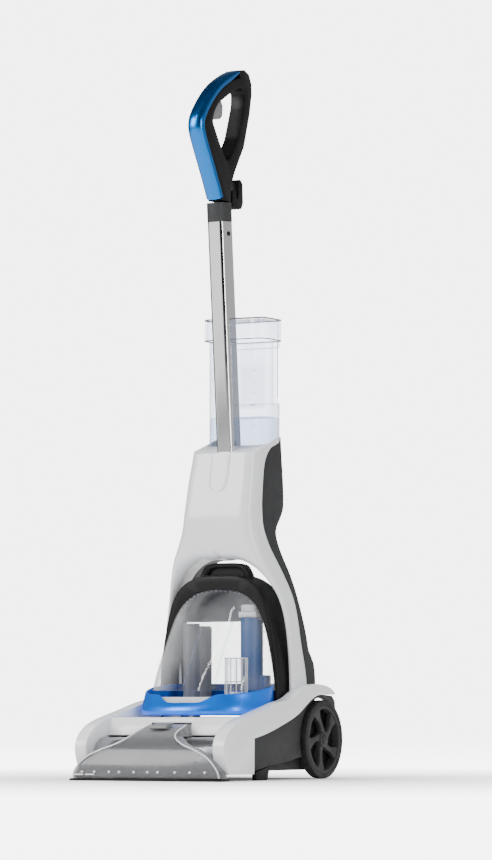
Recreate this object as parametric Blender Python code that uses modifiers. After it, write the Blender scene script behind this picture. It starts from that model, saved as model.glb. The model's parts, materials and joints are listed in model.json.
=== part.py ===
"""Upright carpet washer, modelled in metres: front towards -Y, +Z up, origin under the middle of its box."""

import math

import bmesh
import bpy
from mathutils import Matrix, Vector

# Overall layout
HALF_NOZZLE = 0.1325      # half the width of the suction lip
HALF_HEAD = 0.1275        # half the width over the white side wings
HALF_CHEEK = 0.1315
ARM_IN = 0.1090           # the upper body's arms, inner and outer faces
ARM_OUT = 0.1170
COVER_IN = 0.1178         # the floor head's dark side covers
COVER_OUT = 0.1262
WALL_IN = 0.1040          # the chassis side walls
WALL_OUT = 0.1085
GAP = 0.0004              # clearance between fixed neighbours

# Turning centres, as (y, z)
WHEEL_C = (0.1325, 0.0613)
WHEEL_R = 0.0613
WHEEL_X = (0.1185, 0.1335)
PIVOT_C = (0.118, 0.100)
BRUSH_C = (-0.128, 0.032)
BRUSH_R = 0.029
PULLEY_C = (-0.055, 0.048)
PULLEY_R = 0.0085

# Stem: its axis leans forwards in the YZ plane
STEM_LOW = (0.0700, 0.455)
STEM_HIGH = (0.0335, 0.895)
STEM_X = 0.030
STEM_Y = 0.034
STEM_WALL = 0.0015

DECK_Z = 0.094
DECK_T = 0.0035
TANK_FLOOR = 0.0985
TANK_REAR = 0.0745
BOTTLE_Z = (0.491, 0.6895)
BOTTLE_Y = (0.0848, 0.143)
BOTTLE_X = 0.055
LID_Z = (0.690, 0.725)

MAIN = "carpet_cleaner"
SPARE = "cutters"


# ---------------------------------------------------------------- helpers

def fresh_scene():
    for obj in list(bpy.data.objects):
        bpy.data.objects.remove(obj, do_unlink=True)
    for name in (MAIN, SPARE):
        bpy.context.scene.collection.children.link(bpy.data.collections.new(name))


def material(name, colour, roughness, metallic=0.0, alpha=1.0):
    mat = bpy.data.materials.new(name)
    mat.use_nodes = True
    shader = mat.node_tree.nodes["Principled BSDF"]
    shader.inputs["Base Color"].default_value = (*colour, 1.0)
    shader.inputs["Roughness"].default_value = roughness
    shader.inputs["Metallic"].default_value = metallic
    shader.inputs["Alpha"].default_value = alpha
    return mat


def put(name, mesh, mat=None, place=None):
    """Makes the object of a sub-part, or of a cutter when it has no material."""
    obj = bpy.data.objects.new(name, mesh)
    if mat is None:
        bpy.data.collections[SPARE].objects.link(obj)
        obj.hide_render = True
        obj.display_type = "WIRE"
    else:
        bpy.data.collections[MAIN].objects.link(obj)
        mesh.materials.clear()
        mesh.materials.append(mat)
    if place is not None:
        obj.matrix_world = place
    return obj


def baked(source):
    """The evaluated mesh of an object, welded, in world coordinates; the object is removed."""
    bpy.context.view_layer.update()
    graph = bpy.context.evaluated_depsgraph_get()
    mesh = bpy.data.meshes.new_from_object(source.evaluated_get(graph))
    mesh.transform(source.matrix_world)
    bm = bmesh.new()
    bm.from_mesh(mesh)
    bmesh.ops.remove_doubles(bm, verts=bm.verts, dist=1e-6)
    bmesh.ops.recalc_face_normals(bm, faces=bm.faces)
    bm.to_mesh(mesh)
    bm.free()
    bpy.data.objects.remove(source, do_unlink=True)
    return mesh


def smooth(obj, angle=35.0):
    obj.data.shade_smooth()
    obj.data.set_sharp_from_angle(angle=math.radians(angle))
    return obj


def box(name, mat, x, y, z, bevel=0.0):
    bm = bmesh.new()
    bmesh.ops.create_cube(bm, size=1.0)
    bmesh.ops.scale(bm, vec=(x[1] - x[0], y[1] - y[0], z[1] - z[0]), verts=bm.verts)
    bmesh.ops.translate(bm, vec=((x[0] + x[1]) / 2, (y[0] + y[1]) / 2, (z[0] + z[1]) / 2), verts=bm.verts)
    mesh = bpy.data.meshes.new(name)
    bm.to_mesh(mesh)
    bm.free()
    obj = put(name, mesh, mat)
    if bevel:
        round_edges(obj, bevel)
    return obj


def round_edges(obj, width, segments=2):
    mod = obj.modifiers.new("edges", "BEVEL")
    mod.width = width
    mod.segments = segments
    mod.limit_method = "ANGLE"
    mod.angle_limit = math.radians(40)


AXES = {
    "X": Matrix(((0, 0, 1), (1, 0, 0), (0, 1, 0))).to_4x4(),
    "Y": Matrix(((1, 0, 0), (0, 0, -1), (0, 1, 0))).to_4x4(),
    "Z": Matrix.Identity(4),
}


def slab(name, mat, axis, outline, span, holes=()):
    """A flat outline, in (y, z), (x, z) or (x, y), given a thickness along the axis over the span."""
    curve = bpy.data.curves.new(name, "CURVE")
    curve.dimensions = "2D"
    curve.fill_mode = "BOTH"
    curve.extrude = abs(span[1] - span[0]) / 2
    for loop in (outline, *holes):
        line = curve.splines.new("POLY")
        line.points.add(len(loop) - 1)
        line.use_cyclic_u = True
        for point, (u, v) in zip(line.points, loop):
            point.co = (u, v, 0.0, 1.0)
    work = bpy.data.objects.new(name, curve)
    bpy.data.collections[SPARE].objects.link(work)
    middle = (span[0] + span[1]) / 2
    shift = Vector((middle if axis == "X" else 0, middle if axis == "Y" else 0, middle if axis == "Z" else 0))
    work.matrix_world = Matrix.Translation(shift) @ AXES[axis]
    mesh = baked(work)
    mesh.name = name
    return put(name, mesh, mat)


def rod(name, mat, centre, radius, span, axis="X", sides=32):
    """A round bar along an axis; centre is (y, z), (x, z) or (x, y)."""
    bm = bmesh.new()
    bmesh.ops.create_cone(bm, cap_ends=True, segments=sides, radius1=radius, radius2=radius,
                          depth=span[1] - span[0])
    mesh = bpy.data.meshes.new(name)
    bm.to_mesh(mesh)
    bm.free()
    middle = (span[0] + span[1]) / 2
    where = {"X": (middle, *centre), "Y": (centre[0], middle, centre[1]), "Z": (*centre, middle)}[axis]
    mesh.transform(AXES[axis])
    mesh.transform(Matrix.Translation(where))
    return put(name, mesh, mat)


def turned(name, mat, profile, centre, axis="X", side=1, steps=40):
    """A solid of revolution: profile is (radius, height) from its top on the axis to its bottom on the axis."""
    bm = bmesh.new()
    verts = [bm.verts.new((radius, 0.0, height)) for radius, height in profile]
    for first, second in zip(verts, verts[1:]):
        bm.edges.new((first, second))
    mesh = bpy.data.meshes.new(name)
    bm.to_mesh(mesh)
    bm.free()
    work = bpy.data.objects.new(name, mesh)
    bpy.data.collections[SPARE].objects.link(work)
    screw = work.modifiers.new("turn", "SCREW")
    screw.axis = "Z"
    screw.steps = steps
    screw.render_steps = steps
    screw.use_merge_vertices = True
    screw.merge_threshold = 0.00001
    turned_mesh = baked(work)
    bpy.data.meshes.remove(mesh)
    if axis == "X":
        turned_mesh.transform(Matrix.Rotation(math.radians(90 * side), 4, "Y"))
        turned_mesh.transform(Matrix.Translation((0.0, *centre)))
    else:
        turned_mesh.transform(Matrix.Translation((*centre, 0.0)))
    return smooth(put(name, turned_mesh, mat))


def loft(name, mat, rings, wall=0.0, caps=(True, True)):
    """Skin over rings of equal point counts; wall makes the open skin a shell of that thickness."""
    bm = bmesh.new()
    rows = [[bm.verts.new(point) for point in ring] for ring in rings]
    for low, high in zip(rows, rows[1:]):
        for i in range(len(low)):
            j = (i + 1) % len(low)
            bm.faces.new((low[i], low[j], high[j], high[i]))
    if caps[0]:
        bm.faces.new(list(reversed(rows[0])))
    if caps[1]:
        bm.faces.new(rows[-1])
    bmesh.ops.recalc_face_normals(bm, faces=bm.faces)
    mesh = bpy.data.meshes.new(name)
    bm.to_mesh(mesh)
    bm.free()
    obj = put(name, mesh, mat)
    if wall:
        shell = obj.modifiers.new("wall", "SOLIDIFY")
        shell.thickness = wall
        shell.offset = -1.0
        shell.use_even_offset = True
    return obj


def combine(obj, tool, operation):
    mod = obj.modifiers.new(operation.lower(), "BOOLEAN")
    mod.operation = operation
    mod.solver = "EXACT"
    mod.object = tool
    if tool.name not in bpy.data.collections[SPARE].objects:
        for coll in list(tool.users_collection):
            coll.objects.unlink(tool)
        bpy.data.collections[SPARE].objects.link(tool)
        tool.hide_render = True
        tool.display_type = "WIRE"
    return obj


def cut(obj, *tools):
    for tool in tools:
        combine(obj, tool, "DIFFERENCE")
    return obj


def join(obj, *tools):
    for tool in tools:
        combine(obj, tool, "UNION")
    return obj


def common(obj, tool):
    return combine(obj, tool, "INTERSECT")


def mirrored(points):
    """Adds the left half to a right-hand outline that runs from x = 0 round to x = 0."""
    return points + [(-x, z) for x, z in reversed(points) if abs(x) > 1e-9]


def arc(centre, radius, start, end, steps):
    """Points on a circle between two angles in degrees."""
    angles = [math.radians(start + (end - start) * i / steps) for i in range(steps + 1)]
    return [(centre[0] + radius * math.cos(a), centre[1] + radius * math.sin(a)) for a in angles]


def softened(points, radius, steps=3):
    """A closed outline with each corner swapped for a curve that starts a radius away from it."""
    result = []
    count = len(points)
    for i, corner in enumerate(points):
        here = Vector(corner)
        before = Vector(points[i - 1]) - here
        after = Vector(points[(i + 1) % count]) - here
        reach = min(radius, before.length * 0.45, after.length * 0.45)
        a = here + before.normalized() * reach
        b = here + after.normalized() * reach
        for step in range(steps + 1):
            t = step / steps
            spot = a * (1 - t) ** 2 + here * 2 * t * (1 - t) + b * t ** 2
            result.append((spot.x, spot.y))
    return result


def rounded_box(half_x, y, radius, steps=4):
    """A plan outline in (x, y) with round corners."""
    corners = ((half_x, y[0]), (half_x, y[1]), (-half_x, y[1]), (-half_x, y[0]))
    return softened(list(corners), radius * 1.6, steps)


def offset_line(points, distance):
    """An open line moved to its left by a distance."""
    moved = []
    for i, point in enumerate(points):
        before = Vector(points[max(i - 1, 0)])
        after = Vector(points[min(i + 1, len(points) - 1)])
        along = (after - before).normalized()
        moved.append((point[0] - along.y * distance, point[1] + along.x * distance))
    return moved


def both_sides(maker):
    """Builds a right-hand and a left-hand copy of a sub-part."""
    for name, side in (("right", 1), ("left", -1)):
        maker(name, side)


def across(side, inner, outer):
    """The x span of a piece between two distances from the middle plane."""
    return (inner, outer) if side > 0 else (-outer, -inner)


# ---------------------------------------------------------------- materials

def make_materials():
    return {
        "white": material("white_plastic", (0.80, 0.82, 0.84), 0.25),
        "dark": material("dark_grey_plastic", (0.085, 0.085, 0.09), 0.45),
        "black": material("black_plastic", (0.012, 0.012, 0.014), 0.35),
        "blue": material("blue_plastic", (0.006, 0.14, 0.62), 0.2, 0.3),
        "trim": material("blue_trim", (0.01, 0.12, 0.42), 0.15, 0.5),
        "clear": material("clear_smoke", (0.55, 0.58, 0.60), 0.05, 0.0, 0.3),
        "bottle": material("clear_blue", (0.72, 0.80, 0.93), 0.05, 0.0, 0.4),
        "chrome": material("chromed_steel", (0.75, 0.75, 0.76), 0.12, 1.0),
        "steel": material("steel", (0.5, 0.5, 0.52), 0.3, 1.0),
        "tyre": material("tyre_rubber", (0.02, 0.02, 0.02), 0.7),
        "grey": material("mid_grey_plastic", (0.22, 0.22, 0.23), 0.4),
        "motor": material("motor_steel", (0.42, 0.43, 0.45), 0.35, 0.9),
        "seal": material("soft_rubber", (0.03, 0.03, 0.03), 0.6),
        "bristle": material("brush_blue", (0.03, 0.03, 0.035), 0.5),
    }


# ---------------------------------------------------------------- floor head

WING_UNDER = [(-0.086, 0.064), (-0.009, 0.081), (0.051, 0.100), (0.090, 0.121), (0.113, 0.130),
              (0.150, 0.1315), (0.172, 0.1300)]
WING_OVER = [(0.162, 0.139), (0.139, 0.145), (0.100, 0.147), (0.071, 0.141), (0.029, 0.124),
             (-0.004, 0.118), (-0.103, 0.096)]


def make_chassis(m):
    wall = [(-0.035, 0.014), (0.168, 0.014), (0.168, 0.060)]
    wall += arc(PIVOT_C, 0.0175, -10, 190, 10)
    wall += [(0.078, 0.060), (0.060, 0.089), (-0.035, 0.089)]
    chassis = slab("chassis", m["dark"], "X", wall, (WALL_IN, WALL_OUT))
    left = slab("chassis_left_wall", None, "X", wall, (-WALL_OUT, -WALL_IN))
    floor = box("chassis_floor", None, (-WALL_OUT, WALL_OUT), (-0.080, 0.168), (0.014, 0.0175))
    front = box("chassis_front", None, (-0.098, WALL_OUT), (-0.080, -0.0775), (0.015, 0.060))
    back = box("chassis_back", None, (-WALL_IN - 0.002, WALL_IN + 0.002), (0.1645, 0.168), (0.015, 0.058))
    join(chassis, left, floor, front, back)
    for side in (1, -1):
        pivot = rod("chassis_pivot_bore", None, PIVOT_C, 0.0064, across(side, 0.09, 0.12))
        axle = rod("chassis_axle_bore", None, WHEEL_C, 0.0044, across(side, 0.09, 0.12))
        cut(chassis, pivot, axle)
    return chassis


def make_base_shell(m):
    lines = [(-0.086, 0.064)] + WING_UNDER[1:] + WING_OVER + [(-0.103, 0.070)]
    shell = slab("base_shell", m["white"], "X", lines, (-HALF_HEAD, HALF_HEAD))
    over = box("deck_space", None, (-COVER_IN + 0.0003, COVER_IN - 0.0003), (-0.110, 0.30), (DECK_Z, 0.3))
    under = box("deck_under", None, (-COVER_IN + 0.0003, COVER_IN - 0.0003), (-0.0815, 0.30), (0.0, DECK_Z - DECK_T))
    nose = box("deck_nose", None, (-0.112, 0.112), (-0.20, -0.0810), (0.0, DECK_Z - DECK_T))
    cut(shell, over, under, nose)
    cheek = [(-0.1650, 0.010), (-0.1650, 0.0365), (-0.180, 0.0380), (-0.179, 0.056), (-0.162, 0.068), (-0.128, 0.075),
             (-0.100, 0.0935), (-0.0862, 0.0935), (-0.0862, 0.010)]
    for side in (1, -1):
        block = slab("cheek_block", None, "X", softened(cheek, 0.005), across(side, 0.112, HALF_CHEEK))
        join(shell, block)
    plate = box("deck_plate", None, (-0.1075, 0.1075), (-0.099, 0.080), (DECK_Z - DECK_T + 0.0002, DECK_Z - 0.0002))
    join(shell, plate)
    roof = [(0.070, DECK_Z - DECK_T), (0.118, DECK_Z - DECK_T), (0.1560, 0.0740), (0.1600, 0.0640),
            (0.1638, 0.0640), (0.1600, 0.0765), (0.120, DECK_Z - 0.0004), (0.070, DECK_Z - 0.0004)]
    join(shell, slab("rear_roof", None, "X", roof, (-0.1030, 0.1030)))
    cut(shell, box("pedal_notch", None, (0.047, 0.093), (0.140, 0.20), (0.050, 0.078)))
    return shell


def make_side_cover(m, name, side):
    upper = [(y, z - GAP * 1.5) for y, z in WING_UNDER]
    start = (upper[0][0] + 0.0004, upper[0][1])
    outline = [(-0.0856, 0.013), start] + upper[1:] + [(0.181, 0.121)]
    outline += arc(WHEEL_C, 0.0648, 38, 205, 22)
    outline += [(0.058, 0.033), (0.041, 0.029), (-0.028, 0.022)]
    cover = slab("side_cover_" + name, m["dark"], "X", outline, across(side, COVER_IN, COVER_OUT))
    return cover


def make_skid(m, name, side):
    outline = softened([(-0.070, 0.0), (-0.036, 0.0), (-0.028, 0.0215), (-0.072, 0.0130)], 0.002)
    return slab("skid_" + name, m["black"], "X", outline, across(side, COVER_IN + 0.0005, COVER_OUT - 0.0005))


def make_brush_housing(m):
    ring = arc(BRUSH_C, 0.0335, -15, 200, 16) + arc(BRUSH_C, 0.0310, 200, -15, 16)
    housing = slab("brush_housing", m["black"], "X", ring, (-0.0995, 0.1110))
    half = arc(BRUSH_C, 0.0322, -12, 197, 16)
    for span in ((-0.0993, -0.0970), (0.1062, 0.1108)):
        end = slab("housing_end", None, "X", half, span)
        hole = rod("housing_bearing_bore", None, BRUSH_C, 0.0084, (span[0] - 0.01, span[1] + 0.01))
        join(housing, end)
        cut(housing, hole)
    return housing


def make_brush(m):
    roll = rod("brush_roll", m["bristle"], BRUSH_C, 0.0215, (-0.0945, 0.1035), sides=24)
    shaft = rod("brush_shaft", None, BRUSH_C, 0.0035, (-0.1105, 0.1105), sides=16)
    pulley = rod("brush_pulley", None, BRUSH_C, PULLEY_R, (-0.1090, -0.1020), sides=24)
    join(roll, shaft, pulley)
    rows = 4
    for row in range(rows):
        turn = 2 * math.pi * row / rows
        along = (math.cos(turn), math.sin(turn))
        low = (BRUSH_C[0] + 0.018 * along[0], BRUSH_C[1] + 0.018 * along[1])
        high = (BRUSH_C[0] + BRUSH_R * along[0], BRUSH_C[1] + BRUSH_R * along[1])
        side = (-along[1] * 0.0022, along[0] * 0.0022)
        outline = [(low[0] - side[0], low[1] - side[1]), (high[0] - side[0], high[1] - side[1]),
                   (high[0] + side[0], high[1] + side[1]), (low[0] + side[0], low[1] + side[1])]
        join(roll, slab("bristle_row", None, "X", outline, (-0.091, 0.100)))
    return roll


def make_ring(name, mat, centre, inner, outer, span, axis="X", sides=28):
    """A plain sleeve round a shaft."""
    loop = arc((0, 0), outer, 0, 360, sides)[:-1]
    hole = arc((0, 0), inner, 0, 360, sides)[:-1]
    shift = [(u + centre[0], v + centre[1]) for u, v in loop]
    hole = [(u + centre[0], v + centre[1]) for u, v in hole]
    return slab(name, mat, axis, shift, span, holes=(hole,))


def make_drive(m):
    make_ring("brush_bearing_left", m["steel"], BRUSH_C, 0.0039, 0.0080, (-0.0993, -0.0950))
    make_ring("brush_bearing_right", m["steel"], BRUSH_C, 0.0039, 0.0080, (0.1065, 0.1105))
    motor = rod("brush_motor", m["motor"], PULLEY_C, 0.0190, (-0.0960, -0.0250), sides=28)
    join(motor, rod("brush_motor_shaft", None, PULLEY_C, 0.0020, (-0.1085, -0.0950), sides=12))
    make_ring("motor_pulley", m["grey"], PULLEY_C, 0.0024, PULLEY_R, (-0.1090, -0.1020), sides=20)
    make_belt(m)


def make_belt(m):
    """Both pulleys have one radius, so the belt is two half circles and two straight runs."""
    run = Vector(PULLEY_C) - Vector(BRUSH_C)
    tilt = math.degrees(math.atan2(run.y, run.x))

    def loop(radius):
        front = arc(BRUSH_C, radius, tilt + 90, tilt + 270, 10)
        return front + arc(PULLEY_C, radius, tilt - 90, tilt + 90, 10)

    inner = PULLEY_R + 0.0003
    slab("drive_belt", m["seal"], "X", loop(inner + 0.0014), (-0.1085, -0.1025), holes=(loop(inner),))


def make_nozzle(m):
    skin = [(-0.166, 0.004), (-0.188, 0.004), (-0.1895, 0.020), (-0.184, 0.046), (-0.172, 0.064),
            (-0.158, 0.0725), (-0.120, 0.0850), (-0.107, 0.0850), (-0.107, 0.0685), (-0.120, 0.0670),
            (-0.1480, 0.0670), (-0.1645, 0.0530), (-0.1675, 0.0300)]
    face = [(0, 0.004), (0.130, 0.004), (0.128, 0.014), (0.1105, 0.034), (0.085, 0.047), (0.060, 0.056),
            (0.040, 0.068), (0.034, 0.090), (0, 0.090)]
    cover = slab("nozzle_cover", m["clear"], "X", skin, (-0.131, 0.131))
    common(cover, slab("nozzle_face", None, "Y", mirrored(face), (-0.25, -0.05)))
    inner_skin = [(-0.1690, -0.010), (-0.186, -0.010), (-0.1873, 0.020), (-0.182, 0.045), (-0.170, 0.0625),
                  (-0.157, 0.0705), (-0.120, 0.0825), (-0.090, 0.0825), (-0.090, 0.0705), (-0.120, 0.0692),
                  (-0.1490, 0.0690), (-0.1668, 0.0540), (-0.1697, 0.0300)]
    inner_face = [(0, -0.010), (0.126, -0.010), (0.125, 0.013), (0.108, 0.032), (0.083, 0.0448),
                  (0.058, 0.0538), (0.037, 0.066), (0.0315, 0.0880), (0, 0.0880)]
    space = slab("nozzle_space", None, "X", inner_skin, (-0.140, 0.140))
    mask = slab("nozzle_space_face", None, "Y", mirrored(inner_face), (-0.25, -0.05))
    common(space, mask)
    cut(cover, space)
    lip = box("suction_lip", m["black"], (-HALF_NOZZLE, HALF_NOZZLE), (-0.1938, -0.1640), (0.0, 0.0036), 0.0008)
    cut(lip, box("lip_slot", None, (-0.124, 0.124), (-0.1855, -0.1695), (-0.01, 0.02)))
    latch = [(-0.150, 0.0775), (-0.130, 0.0836), (-0.128, 0.0880), (-0.150, 0.0845), (-0.153, 0.0800)]
    slab("nozzle_latch", m["grey"], "X", softened(latch, 0.0015), (-0.014, 0.014))


def make_wet_works(m):
    spray = rod("spray_bar", m["grey"], (-0.0855, 0.066), 0.0035, (-0.085, 0.085), sides=16)
    join(spray, box("spray_nozzle_a", None, (-0.05, -0.04), (-0.0890, -0.0855), (0.056, 0.066)))
    join(spray, box("spray_nozzle_b", None, (0.04, 0.05), (-0.0890, -0.0855), (0.056, 0.066)))
    pump = box("water_pump", m["grey"], (0.015, 0.065), (0.010, 0.045), (0.0185, 0.058), 0.003)
    join(pump, rod("pump_inlet", None, (0.040, 0.0275), 0.004, (0.055, 0.072), "Z", 16))
    duct = slab("suction_duct", m["grey"], "X",
                [(-0.1045, 0.0690), (-0.1045, 0.0845), (-0.102, 0.0885), (0.0, 0.0885), (0.0, 0.0720),
                 (-0.094, 0.0720), (-0.094, 0.0690)], (-0.030, 0.030))
    cut(duct, box("duct_bore", None, (-0.028, 0.028), (-0.12, -0.002), (0.0738, 0.0828)))


def make_wheel(m, name, side):
    near, far = WHEEL_X
    thick = far - near
    profile = [(0.0048, thick), (0.0200, thick - 0.0005), (0.0470, thick - 0.0030), (0.0500, thick - 0.0020),
               (0.0530, thick - 0.0020), (0.0530, 0.0010), (0.0480, 0.0010), (0.0450, 0.0050),
               (0.0200, 0.0050), (0.0150, 0.0), (0.0048, 0.0), (0.0048, thick)]
    hub = turned("wheel_" + name, m["dark"], profile, (0, 0), axis="Z", steps=30)
    windows = 5
    for index in range(windows):
        turn = 360 * index / windows
        a = arc((0, 0), 0.0415, turn + 10, turn + 54, 6)
        b = arc((0, 0), 0.0190, turn + 60, turn + 28, 4)
        opening = slab("wheel_window", None, "Z", a + b, (-0.01, 0.03))
        combine(hub, opening, "DIFFERENCE")
    tyre = [(0.0533, 0.0), (0.0533, thick - 0.0025), (0.0560, thick - 0.0010), (0.0595, thick - 0.0020),
            (WHEEL_R, thick - 0.0045), (WHEEL_R, 0.0030), (0.0600, 0.0005), (0.0533, 0.0)]
    band = turned("tyre_" + name, m["tyre"], list(reversed(tyre)), (0, 0), axis="Z", steps=40)
    cap = turned("wheel_cap_" + name, m["dark"],
                 [(0.0, thick + 0.0030), (0.0060, thick + 0.0025), (0.0085, thick + 0.0006),
                  (0.0, thick + 0.0006)], (0, 0), axis="Z", steps=24)
    place = Matrix.Translation((side * near, *WHEEL_C)) @ Matrix.Rotation(math.radians(90 * side), 4, "Y")
    for piece in (hub, band, cap):
        piece.matrix_world = place
    for mod in hub.modifiers:
        mod.object.matrix_world = place
    rod("axle_" + name, m["steel"], WHEEL_C, 0.0040, across(side, 0.0960, far + 0.0003), sides=20)
    rod("pivot_pin_" + name, m["steel"], PIVOT_C, 0.0060, across(side, 0.1000, ARM_OUT - 0.0005), sides=24)


def make_rear(m):
    outline = softened([(0.1685, 0.016), (0.1785, 0.020), (0.1785, 0.052), (0.1730, 0.0610), (0.1685, 0.0610)], 0.004)
    cover = slab("rear_cover", m["dark"], "X", outline, (-0.100, 0.100))
    cut(cover, box("cover_notch", None, (0.047, 0.093), (0.16, 0.19), (0.053, 0.07)))
    pedal = [(0.150, 0.0665), (0.1925, 0.0630), (0.1938, 0.0665), (0.152, 0.0720)]
    slab("recline_pedal", m["grey"], "X", softened(pedal, 0.002), (0.050, 0.090))


# ---------------------------------------------------------------- recovery tank

def tank_ring(z, half, middle, front, power=1.75, rear=TANK_REAR, count=24):
    """A plan section: a bowed front on straight sides that run back to a flat rear."""
    depth = middle - front
    points = []
    for i in range(count + 1):
        turn = math.pi * i / count
        c, s = math.cos(turn), math.sin(turn)
        x = half * math.copysign(abs(c) ** (2 / power), c)
        y = middle - depth * abs(s) ** (2 / power)
        points.append((-x, y, z))
    corner = 0.012
    points += [(half, rear - corner, z), (half - corner * 0.3, rear - corner * 0.3, z), (half - corner, rear, z)]
    points += [(-half + corner, rear, z), (-half + corner * 0.3, rear - corner * 0.3, z), (-half, rear - corner, z)]
    return points


DOME = [(0.1370, 0.1020, 0.020, -0.066), (0.1750, 0.0980, 0.026, -0.044), (0.2150, 0.0900, 0.034, -0.018),
        (0.2500, 0.0820, 0.040, 0.005), (0.2800, 0.0680, 0.046, 0.024), (0.2980, 0.0480, 0.052, 0.036)]

HOOD_OUT = [(0.1062, 0.1480), (0.1036, 0.1750), (0.0995, 0.2150), (0.0925, 0.2500), (0.0830, 0.2800),
            (0.0660, 0.3020), (0.0380, 0.3160), (0.0, 0.3180)]
HOOD_IN = [(0.1030, 0.1480), (0.0998, 0.1750), (0.0930, 0.2150), (0.0850, 0.2500), (0.0715, 0.2800),
           (0.0530, 0.3000), (0.0300, 0.3040), (0.0, 0.3045)]


def make_recovery_tank(m):
    rings = [tank_ring(*row) for row in DOME]
    loft("tank_dome", m["clear"], rings, wall=0.0022, caps=(False, True))
    outer = [tank_ring(z, a, c, f, 2.0, 0.0825) for z, a, c, f in
             ((TANK_FLOOR, 0.1050, 0.0, -0.086), (0.104, 0.1075, 0.0, -0.090), (0.120, 0.1075, 0.006, -0.080),
              (0.150, 0.1070, 0.012, -0.062))]
    inner = [tank_ring(z, a, c, f, 2.0, 0.0795) for z, a, c, f in
             ((TANK_FLOOR + 0.003, 0.1020, 0.0, -0.083), (0.107, 0.1045, 0.0, -0.086),
              (0.120, 0.1045, 0.006, -0.077), (0.160, 0.1040, 0.014, -0.055))]
    base = loft("tank_base", m["blue"], outer)
    cut(base, loft("tank_base_space", None, inner))
    slope = [(-0.12, 0.1300), (-0.062, 0.1300), (-0.050, 0.1350), (0.0, 0.1405), (0.050, 0.1475), (0.1, 0.1475),
             (0.1, 0.20), (-0.12, 0.20)]
    cut(base, slab("tank_base_rim", None, "X", slope, (-0.15, 0.15)))
    dip = mirrored([(0, 0.1180), (0.030, 0.1190), (0.052, 0.1300), (0.052, 0.16), (0, 0.16)])
    cut(base, slab("tank_base_dip", None, "Y", dip, (-0.12, -0.040)))
    make_hood(m)
    make_tank_inside(m)


def make_hood(m):
    frame = HOOD_OUT + [(-x, z) for x, z in reversed(HOOD_OUT[:-1])]
    opening = HOOD_IN + [(-x, z) for x, z in reversed(HOOD_IN[:-1])]
    hood = slab("tank_hood", m["black"], "Y", frame + list(reversed(opening)), (0.031, 0.0825))
    back = [(x, z) for x, z in HOOD_OUT if z > 0.24]
    panel = [(0.0885, 0.2400)] + [(x - 0.002 if x else x, z - 0.001) for x, z in back]
    panel = panel + [(-x, z) for x, z in reversed(panel) if x]
    join(hood, slab("hood_back", None, "Y", panel, (0.0790, 0.0823)))
    grip = [(0.044, 0.3120), (0.037, 0.3320), (0.020, 0.3365), (0.0, 0.3370)]
    hollow = [(0.030, 0.3120), (0.027, 0.3265), (0.018, 0.3290), (0.0, 0.3290)]
    bar = grip + [(-x, z) for x, z in reversed(grip[:-1])]
    bar += list(reversed(hollow + [(-x, z) for x, z in reversed(hollow[:-1])]))
    join(hood, slab("hood_grip", None, "Y", bar, (0.052, 0.066)))


def make_tank_inside(m):
    riser = rod("riser_duct", m["grey"], (-0.050, 0.034), 0.0130, (0.1035, 0.2420), "Z", 28)
    cut(riser, rod("riser_bore", None, (-0.050, 0.034), 0.0112, (0.09, 0.30), "Z", 28))
    stack = rod("tank_stack", m["blue"], (0.052, 0.046), 0.0175, (0.1035, 0.2500), "Z", 28)
    cut(stack, rod("stack_bore", None, (0.052, 0.046), 0.0155, (0.1080, 0.30), "Z", 28))
    box("stack_cap", m["white"], (0.034, 0.066), (0.034, 0.066), (0.2503, 0.2600), 0.002)
    cage = rod("float_cage", m["clear"], (0.048, 0.004), 0.0150, (0.1035, 0.1850), "Z", 24)
    cut(cage, rod("cage_bore", None, (0.048, 0.004), 0.0132, (0.1055, 0.30), "Z", 24))
    for turn in (0, 90):
        slot = box("cage_slot_%d" % turn, None, (-0.03, 0.03), (-0.004, 0.004), (0.115, 0.175))
        slot.matrix_world = Matrix.Translation((0.048, 0.004, 0)) @ Matrix.Rotation(math.radians(turn), 4, "Z")
        cut(cage, slot)
    rod("tank_float", m["white"], (0.048, 0.004), 0.0115, (0.1060, 0.1350), "Z", 24)


# ---------------------------------------------------------------- upper body

BODY_OUT = [(ARM_OUT, 0.080), (ARM_OUT, 0.150), (0.1145, 0.200), (0.1100, 0.245), (0.1020, 0.285), (0.0890, 0.322),
            (0.0745, 0.358), (0.0655, 0.388), (0.0628, 0.420), (0.0625, 0.460), (0.0600, 0.500), (0.0585, 0.540)]
ARCH = [(0, 0.3450), (0.035, 0.3410), (0.062, 0.3270), (0.081, 0.3060), (0.0945, 0.2770), (0.1030, 0.2400),
        (0.1075, 0.2000), (ARM_IN, 0.160), (ARM_IN, 0.080)]
SPLIT = [(0.1050, 0.130), (0.1036, 0.155), (0.0920, 0.216), (0.0875, 0.278), (0.0750, 0.330), (0.0630, 0.369),
         (0.0580, 0.401), (0.0600, 0.444), (0.0730, 0.495), (0.1250, 0.530)]
BODY_FRONT = [(0.0600, 0.132), (0.0580, 0.215), (0.0500, 0.280), (0.0300, 0.315), (0.0180, 0.345), (0.0200, 0.400),
              (0.0290, 0.450), (0.0400, 0.500), (0.0440, 0.509)]
BODY_BACK = [(0.1310, 0.5280), (0.1310, 0.430), (0.1240, 0.415), (0.1010, 0.389), (0.0975, 0.375), (0.0985, 0.355),
             (0.1030, 0.320), (0.1050, 0.278), (0.1165, 0.216), (0.1210, 0.188), (0.1330, 0.186), (0.1360, 0.150)]


def yoke(name, mat):
    """The front view of the upper body: a tower on two arms that stand astride the tank."""
    right = list(BODY_OUT)
    outline = [(-x, z) for x, z in reversed(right)]
    outline = right + outline
    inner = [(-x, z) for x, z in reversed(ARCH[1:])] + ARCH
    return slab(name, mat, "Y", outline + inner, (-0.05, 0.20))


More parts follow.
